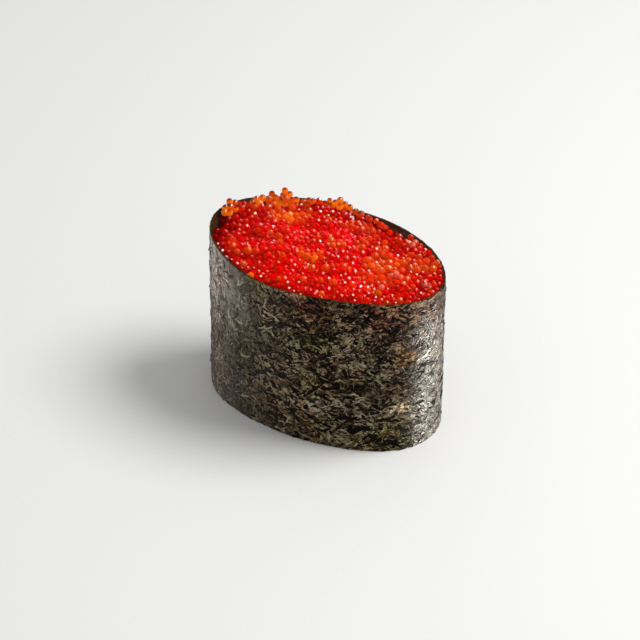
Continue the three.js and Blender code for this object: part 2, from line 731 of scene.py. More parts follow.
def filling(
    wall: OvalWall,
    depth: float,
    rings: int,
    sectors: int,
    low: Surface,
    high: Surface,
) -> tuple[Array, list]:
    """A closed body inside the wall, between two surfaces.

    Args:
        wall: the wall that it stands in.
        depth: how far inside the wall its side is.
        rings: rings from the axis to the side, on both surfaces.
        sectors: steps round the axis.
        low: height of the lower surface at x and y.
        high: height of the upper surface at x and y.

    Returns:
        Its vertices in millimetres and its faces.
    """
    angle = np.linspace(0, math.tau, sectors, endpoint=False)
    points = []

    def ring(out: float, surface: Surface) -> None:
        """Adds one ring of vertices on a surface.

        Args:
            out: how far out it is, from 0 at the axis to 1 at the side.
            surface: the lower or the upper surface.
        """
        edge_x, edge_y = wall.point(angle, 0.0 if surface is low else 1.0, depth)
        x = wall.axis[0] + (edge_x - wall.axis[0]) * out
        y = wall.axis[1] + (edge_y - wall.axis[1]) * out
        points.append(np.stack([x, y, surface(x, y)], 1))

    shares = np.linspace(0, 1, rings + 1)[1:]
    for out in shares:
        ring(out, low)
    for out in shares[::-1]:
        ring(out, high)
    middle_x, middle_y = (np.array([place]) for place in wall.axis)
    poles = [np.stack([middle_x, middle_y, surface(middle_x, middle_y)], 1) for surface in (low, high)]
    vertices = np.concatenate([*points, *poles])
    faces = grid_faces(2 * rings, sectors)
    last = (2 * rings - 1) * sectors
    bottom, top = len(vertices) - 2, len(vertices) - 1
    for i in range(sectors):
        j = (i + 1) % sectors
        faces.append((bottom, j, i))
        faces.append((top, last + i, last + j))
    return vertices, faces


# ---------- Nori ----------


@dataclass(frozen=True)
class Strokes:
    """Strokes of the felt. Sizes are in millimetres."""

    cells_per_mm: float
    length: float
    width: float
    shift: Triple = (0.0, 0.0, 0.0)

    def drawn(self, graph: Graph, flat: Value, lean: Value) -> Value:
        """The strokes on the flat sheet, between 0 and 1, round the directions that lean gives."""
        place = graph.vector("ADD", flat, self.shift)
        return graph.strokes(place, self.cells_per_mm, self.length, self.width, lean)


def felt_place(graph: MaterialGraph | GeometryGraph) -> Value:
    """A point's place on the sheet when it lies flat, shifted a little so that strokes wander."""
    sheet = graph.triple(graph.attribute("along"), graph.attribute("up"), 0.0)
    return graph.warped(sheet, per_mm=0.35, reach=0.9)


@dataclass(frozen=True)
class NoriPatch:
    """A place on the nori with a colour of its own, or with painted glints."""

    x: float
    y: float
    z: float
    radius: float
    tint: Triple


# What a patch's colours are multiplied by.
OLIVE = (1.06, 1.12, 0.72)
PLUM = (1.3, 0.85, 0.82)
RUST = (1.7, 1.15, 0.65)
# PAINTED_GLINT whitens the strokes in its patches: painted glints of light.
PAINTED_GLINT = (2.3, 2.3, 2.4)


@dataclass(frozen=True)
class NoriFinish:
    """Toasted nori: brown-black felt with olive, plum and pale strokes, glossy and paled by a painted sheen
    at the two ends of the oval.

    A pair of limits says where an effect starts and where it is full.
    """

    gap: str = "#050302"
    dark: str = "#170f0b"
    brown: str = "#402f22"
    khaki: str = "#6c5c42"
    pale: str = "#a89d84"
    tones: tuple[float, ...] = (0.0, 0.28, 0.5, 0.75, 1.0)
    # Painted sheen: the grey that glossy felt and flakes are paled towards.
    painted_sheen: str = "#a0968a"
    inside: str = "#482b06"
    roughness: float = 0.5
    matt_ior: float = 1.4
    matt_specular: float = 0.05
    shiny_roughness: float = 0.18
    shiny_ior: float = 2.1
    broad: Strokes = Strokes(0.3, 2.4, 0.36)
    fine: Strokes = Strokes(0.5, 1.5, 0.2, (37.0, 11.0, 5.0))
    contrast: Limits = (0.385, 0.735)
    gloss_and_sheen_limits: Limits = (0.15, 0.85)
    shiny_strokes: Limits = (0.38, 0.53)
    shiny_flakes: Limits = (0.2, 0.8)
    pinholes_per_mm: float = 0.4
    pinhole_size: Limits = (0.17, 0.11)
    gaps_per_mm: float = 1.1
    gap_limits: Limits = (0.46, 0.38)
    gap_shift: Triple = (3.0, 50.0, 9.0)
    olive_flakes: Limits = (0.25, 0.0)
    plum_flakes: Limits = (0.72, 0.95)
    flake_tint: float = 0.6
    patch_core: float = 0.3
    sheet_painted_sheen: float = 0.5
    flake_painted_sheen: float = 0.45
    sheet_grain: float = 0.5
    flake_grain: float = 0.1
    slack: float = 0.7
    broad_tone: float = 0.4
    fine_tone: float = 0.3
    relief_painted_shade: float = 0.2
    drift_tone: float = 0.3
    broad_shine: float = 0.6
    fine_shine: float = 0.4
    flake_mottle: float = 0.9
    flake_drift: float = 0.4
    patches: tuple[NoriPatch, ...] = (
        NoriPatch(-6.6, -15.4, 33.8, 3.5, OLIVE),
        NoriPatch(-10.5, -14.3, 19.9, 2.5, OLIVE),
        NoriPatch(6.2, -15.3, 25.6, 3.8, OLIVE),
        NoriPatch(6.3, -15.0, 14.8, 3.5, OLIVE),
        NoriPatch(20.0, -9.5, 3.0, 7.0, OLIVE),
        NoriPatch(22.8, -6.7, 22.7, 3.8, RUST),
        NoriPatch(5.5, -15.6, 34.1, 6.0, PLUM),
        NoriPatch(19.9, -9.3, 32.9, 6.5, PLUM),
        NoriPatch(25.0, -1.0, 32.0, 8.0, PLUM),
        NoriPatch(-19.0, -10.5, 31.0, 10.0, PLUM),
        # Painted glints on the right end of the felt.
        NoriPatch(21.2, -8.6, 10.5, 2.0, PAINTED_GLINT),
        NoriPatch(22.4, -7.3, 10.0, 2.0, PAINTED_GLINT),
        NoriPatch(22.0, -7.7, 15.0, 1.8, PAINTED_GLINT),
    )

    def coloured(self, graph: MaterialGraph, tone: Value, place: Value, draw: Value) -> Value:
        """Colours the strokes.

        Args:
            graph: the material's tree.
            tone: 0 in the gaps and 1 on the palest strokes.
            place: the point that is shaded, in millimetres.
            draw: a random number for each flake.

        Returns:
            The colour.
        """
        colours = (self.gap, self.dark, self.brown, self.khaki, self.pale)
        stops = [(at, display_colour(code)) for at, code in zip(self.tones, colours)]
        colour = graph.node("ShaderNodeValToRGB", {"stops": stops}, {"Fac": tone})
        for tint, limits in ((OLIVE, self.olive_flakes), (PLUM, self.plum_flakes)):
            share = draw.between(*limits) * self.flake_tint
            colour = graph.blend(share, colour, (*tint, 1.0), "MULTIPLY")
        for patch in self.patches:
            away = graph.vector("DISTANCE", place, (patch.x, patch.y, patch.z))
            share = away.between(patch.radius, self.patch_core * patch.radius)
            colour = graph.blend(share, colour, (*patch.tint, 1.0), "MULTIPLY")
        return colour

    def surfaced(
        self,
        graph: MaterialGraph,
        colour: Value,
        shine: Value,
        normal: Value,
    ) -> bpy.types.Material:
        """Ends a tree with a surface that is matt or shiny.

        Args:
            graph: the material's tree.
            colour: the base colour.
            shine: 0 where the felt is matt, 1 where it is shiny.
            normal: the bumped normal.

        Returns:
            The material.
        """
        matt = graph.surface(
            Base_Color=colour,
            Roughness=self.roughness,
            IOR=self.matt_ior,
            Specular_IOR_Level=self.matt_specular,
            Normal=normal,
        )
        shiny = graph.surface(
            Base_Color=colour,
            Roughness=self.shiny_roughness,
            IOR=self.shiny_ior,
            Normal=normal,
        )
        return graph.finish(graph.mixed(shine, matt, shiny))

    def sheet(self, name: str) -> bpy.types.Material:
        """Makes the felt's finish, which reads the numbers that the strip carries.

        Args:
            name: the material's name.

        Returns:
            The material.
        """
        graph = MaterialGraph(name)
        flat = felt_place(graph)
        broad, fine = (kind.drawn(graph, flat, graph.attribute("lean")) for kind in (self.broad, self.fine))
        slack = (graph.noise(flat, per_mm=0.3) - 0.5) * self.slack
        # Where the felt is glossy with a painted sheen: at the oval's ends, broken up by a slow noise.
        gloss_and_painted_sheen = (graph.attribute("gloss_and_painted_sheen") + slack).between(*self.gloss_and_sheen_limits)
        drift = graph.noise(flat, per_mm=0.16)
        tone = broad * self.broad_tone + fine * self.fine_tone
        # Painted shade: the felt is paler where its relief stands out and darker in its hollows.
        tone = tone + graph.attribute("relief") * self.relief_painted_shade + drift * self.drift_tone
        cells = graph.cells(flat, self.pinholes_per_mm)
        draw = graph.parts(cells.other("Color"))[0]
        colour = self.coloured(graph, tone.between(*self.contrast), graph.place(), draw)
        pinholes = cells.between(*self.pinhole_size)
        strokes = broad * self.broad_shine + fine * self.fine_shine
        shine = gloss_and_painted_sheen * (1 - pinholes) * strokes.between(*self.shiny_strokes)
        gap_place = graph.vector("ADD", flat, self.gap_shift)
        gaps = graph.noise(gap_place, self.gaps_per_mm, detail=1.0).between(*self.gap_limits)
        for share, code in (
            (gaps * (1 - gloss_and_painted_sheen), self.gap),
            # Painted sheen: glossy felt is paled towards grey.
            (shine * self.sheet_painted_sheen, self.painted_sheen),
            (pinholes * gloss_and_painted_sheen, self.gap),
            (graph.attribute("inner"), self.inside),
        ):
            colour = graph.blend(share, colour, display_colour(code))
        return self.surfaced(graph, colour, shine, graph.bump(broad * 0.5 + fine * 0.5, self.sheet_grain))

    def flake(self, name: str) -> bpy.types.Material:
        """Makes the flakes' finish, which reads their own shade and draw, and where the felt is glossy with
        a painted sheen.

        Args:
            name: the material's name.

        Returns:
            The material.
        """
        graph = MaterialGraph(name)
        place = graph.place()
        draw = graph.attribute("draw")
        mottle = (graph.noise(place, per_mm=2.6) - 0.5) * self.flake_mottle
        drift = (graph.noise(place, per_mm=0.22) - 0.5) * self.flake_drift
        colour = self.coloured(graph, graph.attribute("shade") + mottle + drift, place, draw)
        shine = graph.attribute("gloss_and_painted_sheen") * draw.between(*self.shiny_flakes)
        # Painted sheen: glossy flakes are paled towards grey.
        colour = graph.blend(shine * self.flake_painted_sheen, colour, display_colour(self.painted_sheen))
        grain = graph.bump(graph.noise(place, per_mm=2.0), self.flake_grain)
        return self.surfaced(graph, colour, shine, grain)


@dataclass(frozen=True)
class Scatter:
    """How one kind of flake is scattered over the felt. Sizes are in millimetres and angles in radians."""

    name: str
    per_square_mm: float
    shortest: float
    longest: float
    narrowest: float
    widest: float
    thickness: float
    tilt: float
    ragged: float
    darkest: float
    palest: float
    seed: int


@dataclass
class NoriBand:
    """The strip of nori, wound round once and a little more, with the flakes and strands of its felt.

    It is glossy, with a painted sheen, at both ends of the oval, between limits in degrees round the axis
    and in height.
    The sheen is painted fainter towards the top of the right end, and towards the bottom of the left end as
    the reflection of a shadowed floor.
    The loft of its felt is how freely that may stand up.
    """

    wall: OvalWall
    thickness: float = 0.4
    start_angle: float = 152.0
    lap_angle: float = 42.0
    ramp_angle: float = 40.0
    lap_gap: float = 0.1
    lap_margin: float = 0.02
    edge_rounding: float = 0.12
    edge_depths: tuple[float, float] = (0.3, 0.7)
    inner_crowding: float = 0.6
    inner_loft: float = 0.35
    tucked_loft: float = 0.2
    right_front: Limits = (-21.0, -5.0)
    right_back: Limits = (-80.0, -15.0)
    right_fade: Limits = (24.0, 33.0)
    right_faded: float = 0.72
    left_back: Limits = (130.0, 190.0)
    left_front: Limits = (-252.0, -212.0)
    left_fade: Limits = (12.0, 32.0)
    left_faded: float = 0.94
    left_lean: float = 1.25
    columns: int = 540
    outer_rows: int = 130
    inner_rows: int = 20
    low_relief: Strokes = Strokes(0.3, 2.6, 0.8)
    high_relief: Strokes = Strokes(0.4, 2.0, 0.6, (19.0, 7.0, 3.0))
    low_share: float = 0.55
    high_share: float = 0.45
    ragged_height: Limits = (32.0, 36.0)
    sown_loft: Limits = (0.6, 0.9)
    sown_below_rim: Limits = (1.1, 2.4)
    sown_above_foot: Limits = (0.0, 0.3)
    thinning: float = 0.6
    thick_spots: Limits = (0.35, 0.65)
    thick_gain: float = 0.8
    thin_density: float = 0.6
    pressed: float = 2.0
    swing: float = 1.5
    least_swing: float = 0.4
    level_bend: float = 0.88
    floor_gap: float = 0.03
    finish: NoriFinish = field(default_factory=NoriFinish)
    scatters: tuple[Scatter, ...] = (
        Scatter("nori_flakes", 0.45, 1.4, 3.4, 0.25, 0.7, 0.12, 0.11, 1.4, -0.15, 0.42, 11),
        Scatter("nori_strands", 0.8, 1.0, 3.4, 0.1, 0.22, 0.14, 0.05, 2.0, 0.05, 1.0, 23),
    )

    def strip(self) -> tuple[Array, list, dict[str, Array]]:
        """Winds the smooth strip.

        Returns:
            Its vertices in millimetres, its faces, and the numbers that each vertex carries: the felt's
            loft, the place along the strip and up it, the room below the rim, where it is glossy with a
            painted sheen, how far its strokes lean from the level, and whether it faces inwards.
        """
        thick, soft = self.thickness, self.edge_rounding
        outer_share = np.linspace(0, 1, self.outer_rows + 1)
        inner_share = np.linspace(1, 0, self.inner_rows + 1) ** self.inner_crowding
        edge = thick * np.array(self.edge_depths)
        share = np.concatenate([outer_share, [1, 1], inner_share, [0, 0]])
        depth = np.concatenate([0 * outer_share, edge, 0 * inner_share + thick, edge[::-1]])
        rise = np.concatenate([0 * outer_share, [soft, soft], 0 * inner_share, [0, 0]])
        turn = np.linspace(0, math.tau + math.radians(self.lap_angle), self.columns)
        angle = math.radians(self.start_angle) - turn[:, None]
        ramp = math.radians(self.ramp_angle)
        climb = smoothstep(turn[:, None], math.tau - ramp, math.tau)
        x, y = self.wall.point(angle, share[None, :], depth[None, :] - climb * (thick + self.lap_gap))
        z = share * self.wall.rim_height(angle) + rise
        points = np.stack([x, y, z], -1).reshape(-1, 3)
        path = len(share)
        faces = grid_faces(self.columns, path)
        faces.append(tuple(reversed(range(path))))
        faces.append(tuple((self.columns - 1) * path + i for i in range(path)))
        outer = (depth == 0) & (rise == 0)
        under = turn < math.radians(self.lap_angle) - self.lap_margin
        over = turn > math.tau + self.lap_margin
        loft = np.where(outer[None, :], 1.0, self.inner_loft)
        loft = loft * np.where(under[:, None] & outer[None, :], 0.0, 1.0)
        loft = loft * np.where(over[:, None] & ~outer[None, :], self.tucked_loft, 1.0)
        loft[-1] = 0.0  # a flake on the strip's end face would stick out of the band
        step = np.hypot(np.diff(x[:, 0], prepend=x[0, 0]), np.diff(y[:, 0], prepend=y[0, 0]))
        degrees = np.degrees(angle) % 360
        turned = (degrees + 180) % 360 - 180
        # Gloss and painted sheen on the right end, painted fainter towards the top.
        right = smoothstep(turned, *self.right_front) * smoothstep(-turned, *self.right_back)
        right = right * (1 - self.right_faded * smoothstep(z, *self.right_fade))
        left = smoothstep(degrees, *self.left_back) * smoothstep(-degrees, *self.left_front)
        # Gloss and painted sheen on the left end, fading towards the bottom as a painted reflection of a
        # shadowed floor.
        left_gloss_and_sheen = left * (1 - self.left_faded * (1 - smoothstep(z, *self.left_fade)))
        numbers = {
            "loft": loft,
            "along": np.cumsum(step)[:, None] + 0 * loft,
            "up": z,
            "room": self.wall.rim_height(angle) - z,
            "gloss_and_painted_sheen": np.maximum(right, left_gloss_and_sheen) * outer[None, :],
            "lean": left * self.left_lean + 0 * loft,
            "inner": np.where(outer[None, :], 0.0, 1.0) + 0 * loft,
        }
        return points, faces, {name: number.reshape(-1) for name, number in numbers.items()}

    def find_axis(self) -> None:
        """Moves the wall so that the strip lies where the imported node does."""
        points = self.strip()[0]
        middle = (points.min(0) + points.max(0)) / 2
        low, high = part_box(Node.NORI.value)
        node_middle = (np.array(low) + np.array(high)) / 2 / MM
        self.wall.axis = (float(node_middle[0] - middle[0]), float(node_middle[1] - middle[1]))

    def felt_graph(self, finish: bpy.types.Material) -> GeometryGraph:
        """The tree that gives the smooth strip its felted relief.

        Args:
            finish: the felt's material.

        Returns:
            The tree.
        """
        graph = GeometryGraph("nori_felt", Swell=0.3, Crumple=0.7, Ragged=0.22, Finish=finish)
        place, flat = graph.place(), felt_place(graph)
        low, high = (
            kind.drawn(graph, flat, graph.attribute("lean")) for kind in (self.low_relief, self.high_relief)
        )
        relief = low * self.low_share + high * self.high_share
        swell = graph.noise(place, per_mm=0.11) - 0.5
        lift = swell * graph.input("Swell") + (relief - 0.5) * graph.input("Crumple")
        level = graph.vector("MULTIPLY", graph.node("GeometryNodeInputNormal"), (1.0, 1.0, 0.0))
        outwards = graph.vector("SCALE", level, lift * graph.attribute("loft"))
        tear = (graph.noise(place, per_mm=0.5, detail=3.0) - 0.5) * graph.input("Ragged")
        upwards = graph.triple(0.0, 0.0, tear * graph.parts(place)[2].between(*self.ragged_height))
        offset = graph.vector("ADD", outwards, upwards)
        felt = graph.store(graph.entry, "relief", relief)
        felt = graph.store(felt, "outwards", level, kind="FLOAT_VECTOR")
        graph.close(graph.moved(felt, offset))
        return graph

    def flake_graph(self, scatter: Scatter, finish: bpy.types.Material) -> GeometryGraph:
        """The tree that presses one kind of flake on to the band's faces.

        Args:
            scatter: the kind of flake.
            finish: the flakes' material.

        Returns:
            The tree.
        """
        graph = GeometryGraph(
            scatter.name,
            Per_square_mm=scatter.per_square_mm,
            Shortest=scatter.shortest,
            Longest=scatter.longest,
            Narrowest=scatter.narrowest,
            Widest=scatter.widest,
            Thickness=scatter.thickness,
            Tilt=scatter.tilt,
            Ragged=scatter.ragged,
            Thinning=self.thinning,
            Pressed=self.pressed,
            Darkest=scatter.darkest,
            Palest=scatter.palest,
            Seed=scatter.seed,
            Finish=finish,
        )
        density = graph.input("Per square mm") * (1 / MM**2)
        density = density * graph.attribute("loft").between(*self.sown_loft)
        density = density * (1 - graph.attribute("gloss_and_painted_sheen") * graph.input("Thinning"))
        density = density * graph.attribute("room").between(*self.sown_below_rim)
        density = density * graph.attribute("up").between(*self.sown_above_foot)
        thick = graph.noise(graph.place(), per_mm=0.3).between(*self.thick_spots)
        density = density * (thick * self.thick_gain + self.thin_density)
        inputs = {"Mesh": graph.entry, "Density": density, "Seed": graph.input("Seed")}
        points = graph.node("GeometryNodeDistributePointsOnFaces", {"distribute_method": "RANDOM"}, inputs)
        smooth = graph.vector("SCALE", graph.attribute("outwards", "FLOAT_VECTOR"), graph.input("Pressed"))
        facing = graph.vector("NORMALIZE", graph.vector("ADD", points.other("Normal"), smooth))
        rotation = graph.node("FunctionNodeAlignRotationToVector", {"axis": "Z"}, {"Vector": facing})
        level = graph.vector("CROSS_PRODUCT", facing, (0.0, 0.0, 1.0))
        settings = {"axis": "X", "pivot_axis": "Z"}
        inputs = {"Rotation": rotation, "Vector": level}
        rotation = graph.node("FunctionNodeAlignRotationToVector", settings, inputs)
        swing = graph.chance(-self.swing, self.swing, 3) * graph.chance(self.least_swing, 1.0, 8)
        rotation = graph.turned(rotation, 0.0, 0.0, swing + graph.attribute("lean"))
        lean = [graph.chance(-1.0, 1.0, draw) * graph.input("Tilt") for draw in (1, 2)]
        rotation = graph.turned(rotation, lean[0], lean[1], 0.0)
        scale = graph.triple(
            graph.chance(graph.input("Shortest"), graph.input("Longest"), 4),
            graph.chance(graph.input("Narrowest"), graph.input("Widest"), 5),
            graph.input("Thickness"),
        )
        sown = graph.store(points, "outwards", facing, kind="FLOAT_VECTOR")
        inputs = {"Points": sown, "Instance": self.spindle(graph), "Rotation": rotation, "Scale": scale}
        scattered = graph.node("GeometryNodeInstanceOnPoints", None, inputs)
        shade = graph.chance(graph.input("Darkest"), graph.input("Palest"), 6)
        scattered = graph.store(scattered, "shade", shade, "INSTANCE")
        scattered = graph.store(scattered, "draw", graph.chance(0.0, 1.0, 7), "INSTANCE")
        real = graph.node("GeometryNodeRealizeInstances", None, {"Geometry": scattered})
        bend = graph.noise(graph.place(), per_mm=0.6, detail=1.0).other("Color")
        bend = graph.vector("SUBTRACT", bend, graph.HALF)
        outwards = graph.attribute("outwards", "FLOAT_VECTOR")
        stray = graph.vector("DOT_PRODUCT", bend, outwards) * self.level_bend
        bend = graph.vector("SUBTRACT", bend, graph.vector("SCALE", outwards, stray))
        real = graph.moved(real, graph.vector("SCALE", bend, graph.input("Ragged")))
        sunk = graph.math("MAXIMUM", self.floor_gap - graph.parts(graph.place())[2], 0.0)
        graph.close(graph.moved(real, graph.triple(0.0, 0.0, sunk)), smooth=False)
        return graph

    @staticmethod
    def spindle(graph: GeometryGraph) -> Value:
        """A slip of 1 mm each way, of 22 quads, that narrows to its ends and can bend along X.

        Args:
            graph: the tree that it is made in.

        Returns:
            Its mesh.
        """
        box = {"Size": (MM, MM, MM), "Vertices X": 6}
        x, y, z = graph.parts(graph.place())
        taper = 3.4
        narrow = 1 - x * x * taper
        inputs = {
            "Geometry": graph.node("GeometryNodeMeshCube", None, box),
            "Position": graph.vector("SCALE", graph.triple(x, y * narrow, z * narrow), MM),
        }
        return graph.node("GeometryNodeSetPosition", None, inputs)

    def build(self) -> list[bpy.types.Object]:
        """Makes the band, its flakes and its strands.

        Returns:
            The three pieces.
        """
        points, faces, numbers = self.strip()
        smooth = mesh_object("nori_smooth", points, faces)
        for name, number in numbers.items():
            store_numbers(smooth, name, number)
        pieces = [self.felt_graph(self.finish.sheet("nori_felt")).grow("nori_sheet", smooth)]
        flake = self.finish.flake("nori_flake")
        for kind in self.scatters:
            pieces.append(self.flake_graph(kind, flake).grow(kind.name, pieces[0], keep_source=True))
        return pieces


# ---------- Roe ----------


NO_LIGHT = (0.0, 0.0, 0.0, 1.0)


@dataclass(frozen=True)
class EggFinish:
    """Wet fish eggs, cloudy red inside and clear round it, some of them amber. Painted light gives each an
    orange crescent on the side away from the lamps, a glow to the orange ones, and a dark top to those that
    stand clear of the heap.
    """

    deep: Colour = (0.94, 0.001, 0.0001, 1.0)
    # rim and warm_rim are painted light: the orange crescent on the side of an egg away from the lamps.
    rim: Colour = (1.0, 0.12, 0.001, 1.0)
    dark: Colour = (0.3, 0.0006, 0.0004, 1.0)
    warm_deep: Colour = (1.0, 0.25, 0.008, 1.0)
    warm_rim: Colour = (1.0, 0.46, 0.035, 1.0)
    # A painted dark top on eggs clear of the heap, standing for dark surroundings seen through them.
    painted_dark_refraction: Colour = (0.06, 0.008, 0.002, 1.0)
    pale: Colour = (0.95, 0.42, 0.32, 1.0)
    glass: Colour = (0.98, 0.014, 0.001, 1.0)
    warm_glass: Colour = (0.97, 0.34, 0.025, 1.0)
    inside: Colour = (1.0, 0.005, 0.0005, 1.0)
    warm_inside: Colour = (1.0, 0.35, 0.02, 1.0)
    # A painted glow: light that orange eggs give off though they are no lamp.
    painted_glow: Colour = (0.36, 0.09, 0.003, 1.0)
    seen_through: float = 0.15
    wet_roughness: float = 0.07
    wet_ior: float = 1.9
    wet_share: Limits = (0.5, 0.72)
    dull_roughness: float = 0.5
    clear_ior: float = 1.36
    wobble: float = 0.22

    def material(self, name: str) -> bpy.types.Material:
        """Makes the finish, which reads the numbers that the eggs carry, each from 0 to 1.

        Args:
            name: the material's name.

        Returns:
            The material.
        """
        graph = MaterialGraph(name)
        dents = graph.bump(graph.noise(graph.place(), per_mm=0.9, detail=1.0), self.wobble)
        warmth, glow, painted_dark_top = (graph.attribute(key) for key in ("warmth", "glow", "painted_dark_top"))
        # Painted light: red and amber turn to their rim colours on each egg's glow side.
        red = graph.blend(glow, self.deep, self.rim)
        amber = graph.blend(glow, self.warm_deep, self.warm_rim)
        lit = graph.blend(graph.attribute("pallor"), graph.blend(warmth, red, amber), self.pale)
        # Painted dark top on eggs that stand clear of the heap.
        lit = graph.blend(painted_dark_top, lit, self.painted_dark_refraction)
        looks = {
            # Painted shade: eggs in the hollows and low beside the wall are darkened.
            "Base_Color": graph.blend(graph.attribute("shade"), lit, self.dark),
            # Painted glow in orange eggs, but not on their painted dark tops.
            "Emission_Color": graph.blend(warmth * warmth * (1 - painted_dark_top), NO_LIGHT, self.painted_glow),
            "Emission_Strength": 1.0,
            "Normal": dents,
        }
        dull = graph.surface(**looks, Roughness=self.dull_roughness, Specular_IOR_Level=0.0)
        wet = graph.surface(**looks, Roughness=self.wet_roughness, IOR=self.wet_ior)
        cloudy = graph.mixed(graph.attribute("gleam").between(*self.wet_share), dull, wet)
        inside = graph.blend(warmth, self.inside, self.warm_inside)
        shine = graph.node("ShaderNodeBsdfTranslucent", None, {"Color": inside})
        clear = graph.surface(
            Base_Color=graph.blend(warmth, self.glass, self.warm_glass),
            Roughness=self.wet_roughness,
            IOR=self.clear_ior,
            Specular_IOR_Level=0.0,
            Transmission_Weight=1.0,
            Normal=dents,
        )
        body = graph.mixed(self.seen_through, cloudy, shine)
        return graph.finish(graph.mixed(graph.attribute("clear"), body, clear))


@dataclass(frozen=True)
class CoreFinish:
    """The depth of the heap, where the eggs merge into dark red."""

    red: Colour = (0.9, 0.012, 0.002, 1.0)
    shaded: Colour = (0.6, 0.01, 0.002, 1.0)
    roughness: float = 0.5
    specular: float = 0.1

    def material(self, name: str) -> bpy.types.Material:
        """Makes the finish.

        Args:
            name: the material's name.

        Returns:
            The material.
        """
        graph = MaterialGraph(name)
        colour = graph.blend(graph.noise(graph.place(), per_mm=0.8), self.shaded, self.red)
        inputs = {"Base_Color": colour, "Roughness": self.roughness, "Specular_IOR_Level": self.specular}
        return graph.finish(graph.surface(**inputs))


class HeapTop:
    """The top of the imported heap, which the eggs lie under."""

    MARGIN = 10 * MM

    def __init__(self) -> None:
        """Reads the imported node."""
        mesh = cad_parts[Node.ROE.value].data
        places = [vertex.co.copy() for vertex in mesh.vertices]
        self.tree = BVHTree.FromPolygons(places, [tuple(face.vertices) for face in mesh.polygons])
        self.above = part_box(Node.ROE.value)[1].z + self.MARGIN

    def height(self, x: Array, y: Array, missing: float = 35.0) -> Array:
        """Height of the heap's top.

        Args:
            x: places along the piece, in millimetres.
            y: places across it.
            missing: the height that is given outside the heap.

        Returns:
            The heights, in millimetres.
        """
        down = Vector((0, 0, -1))
        heights = []
        for place_x, place_y in zip(np.ravel(x), np.ravel(y)):
            hit = self.tree.ray_cast(Vector((place_x * MM, place_y * MM, self.above)), down)[0]
            heights.append(missing if hit is None else hit.z / MM)
        return np.array(heights).reshape(np.shape(x))


def ripples(x: Array, y: Array, wavelengths: Sequence[float], seed: int) -> Array:
    """Waves that cross at random, mostly between -1 and 1.

    Args:
        x: places along the piece.
        y: places across it.
        wavelengths: the waves' lengths.
        seed: the seed of their headings and phases.

    Returns:
        The sum of the waves at each place.
    """
    random = np.random.default_rng(seed)
    total = np.zeros(np.shape(x))
    for wavelength in wavelengths:
        heading, phase = random.uniform(0, math.tau, 2)
        along = x * math.cos(heading) + y * math.sin(heading)
        total += np.sin(along * math.tau / wavelength + phase)
    return total / math.sqrt(2 * len(wavelengths))


@dataclass(frozen=True)
class WarmPatch:
    """A place where the eggs are paler and more orange."""

    x: float
    y: float
    radius: float
    strength: float


@dataclass(frozen=True)
class LooseEgg:
    """An egg that stands up out of the heap."""

    x: float
    y: float
    z: float
    warmth: float = 0.85
    diameter: float = 1.5
    pallor: float = 0.0


@dataclass(frozen=True)
class EdgeSwell:
    """A rise of the bed's edge. The place and the spread are in degrees round the axis."""

    place: float
    spread: float
    rise: float

    def at(self, turn: Array) -> Array:
        """The rise at each turn round the axis."""
        return self.rise * np.exp(-(((turn - self.place) / self.spread) ** 2))


@dataclass(frozen=True)
class Warming:
    """How much warmth each cause adds to an egg, before the gain. The lump and free causes paint light:
    eggs on the lumps and eggs standing clear above the rim are made more orange.
    """

    chance: float = 0.04
    stray: float = 0.26
    stray_share: float = 0.05
    drift: float = 0.3
    drift_from: float = 0.3
    lump: float = 0.25
    lump_level: float = 0.3
    loss: float = 0.1
    gain: float = 1.2
    free: float = 0.6


@dataclass(frozen=True)
class Shading:
    """How dark chance makes an egg, and how much painted shade the hollows between the lumps give it."""

    chance: float = 0.12
    hollow: float = 0.4
    hollow_from: float = 0.45


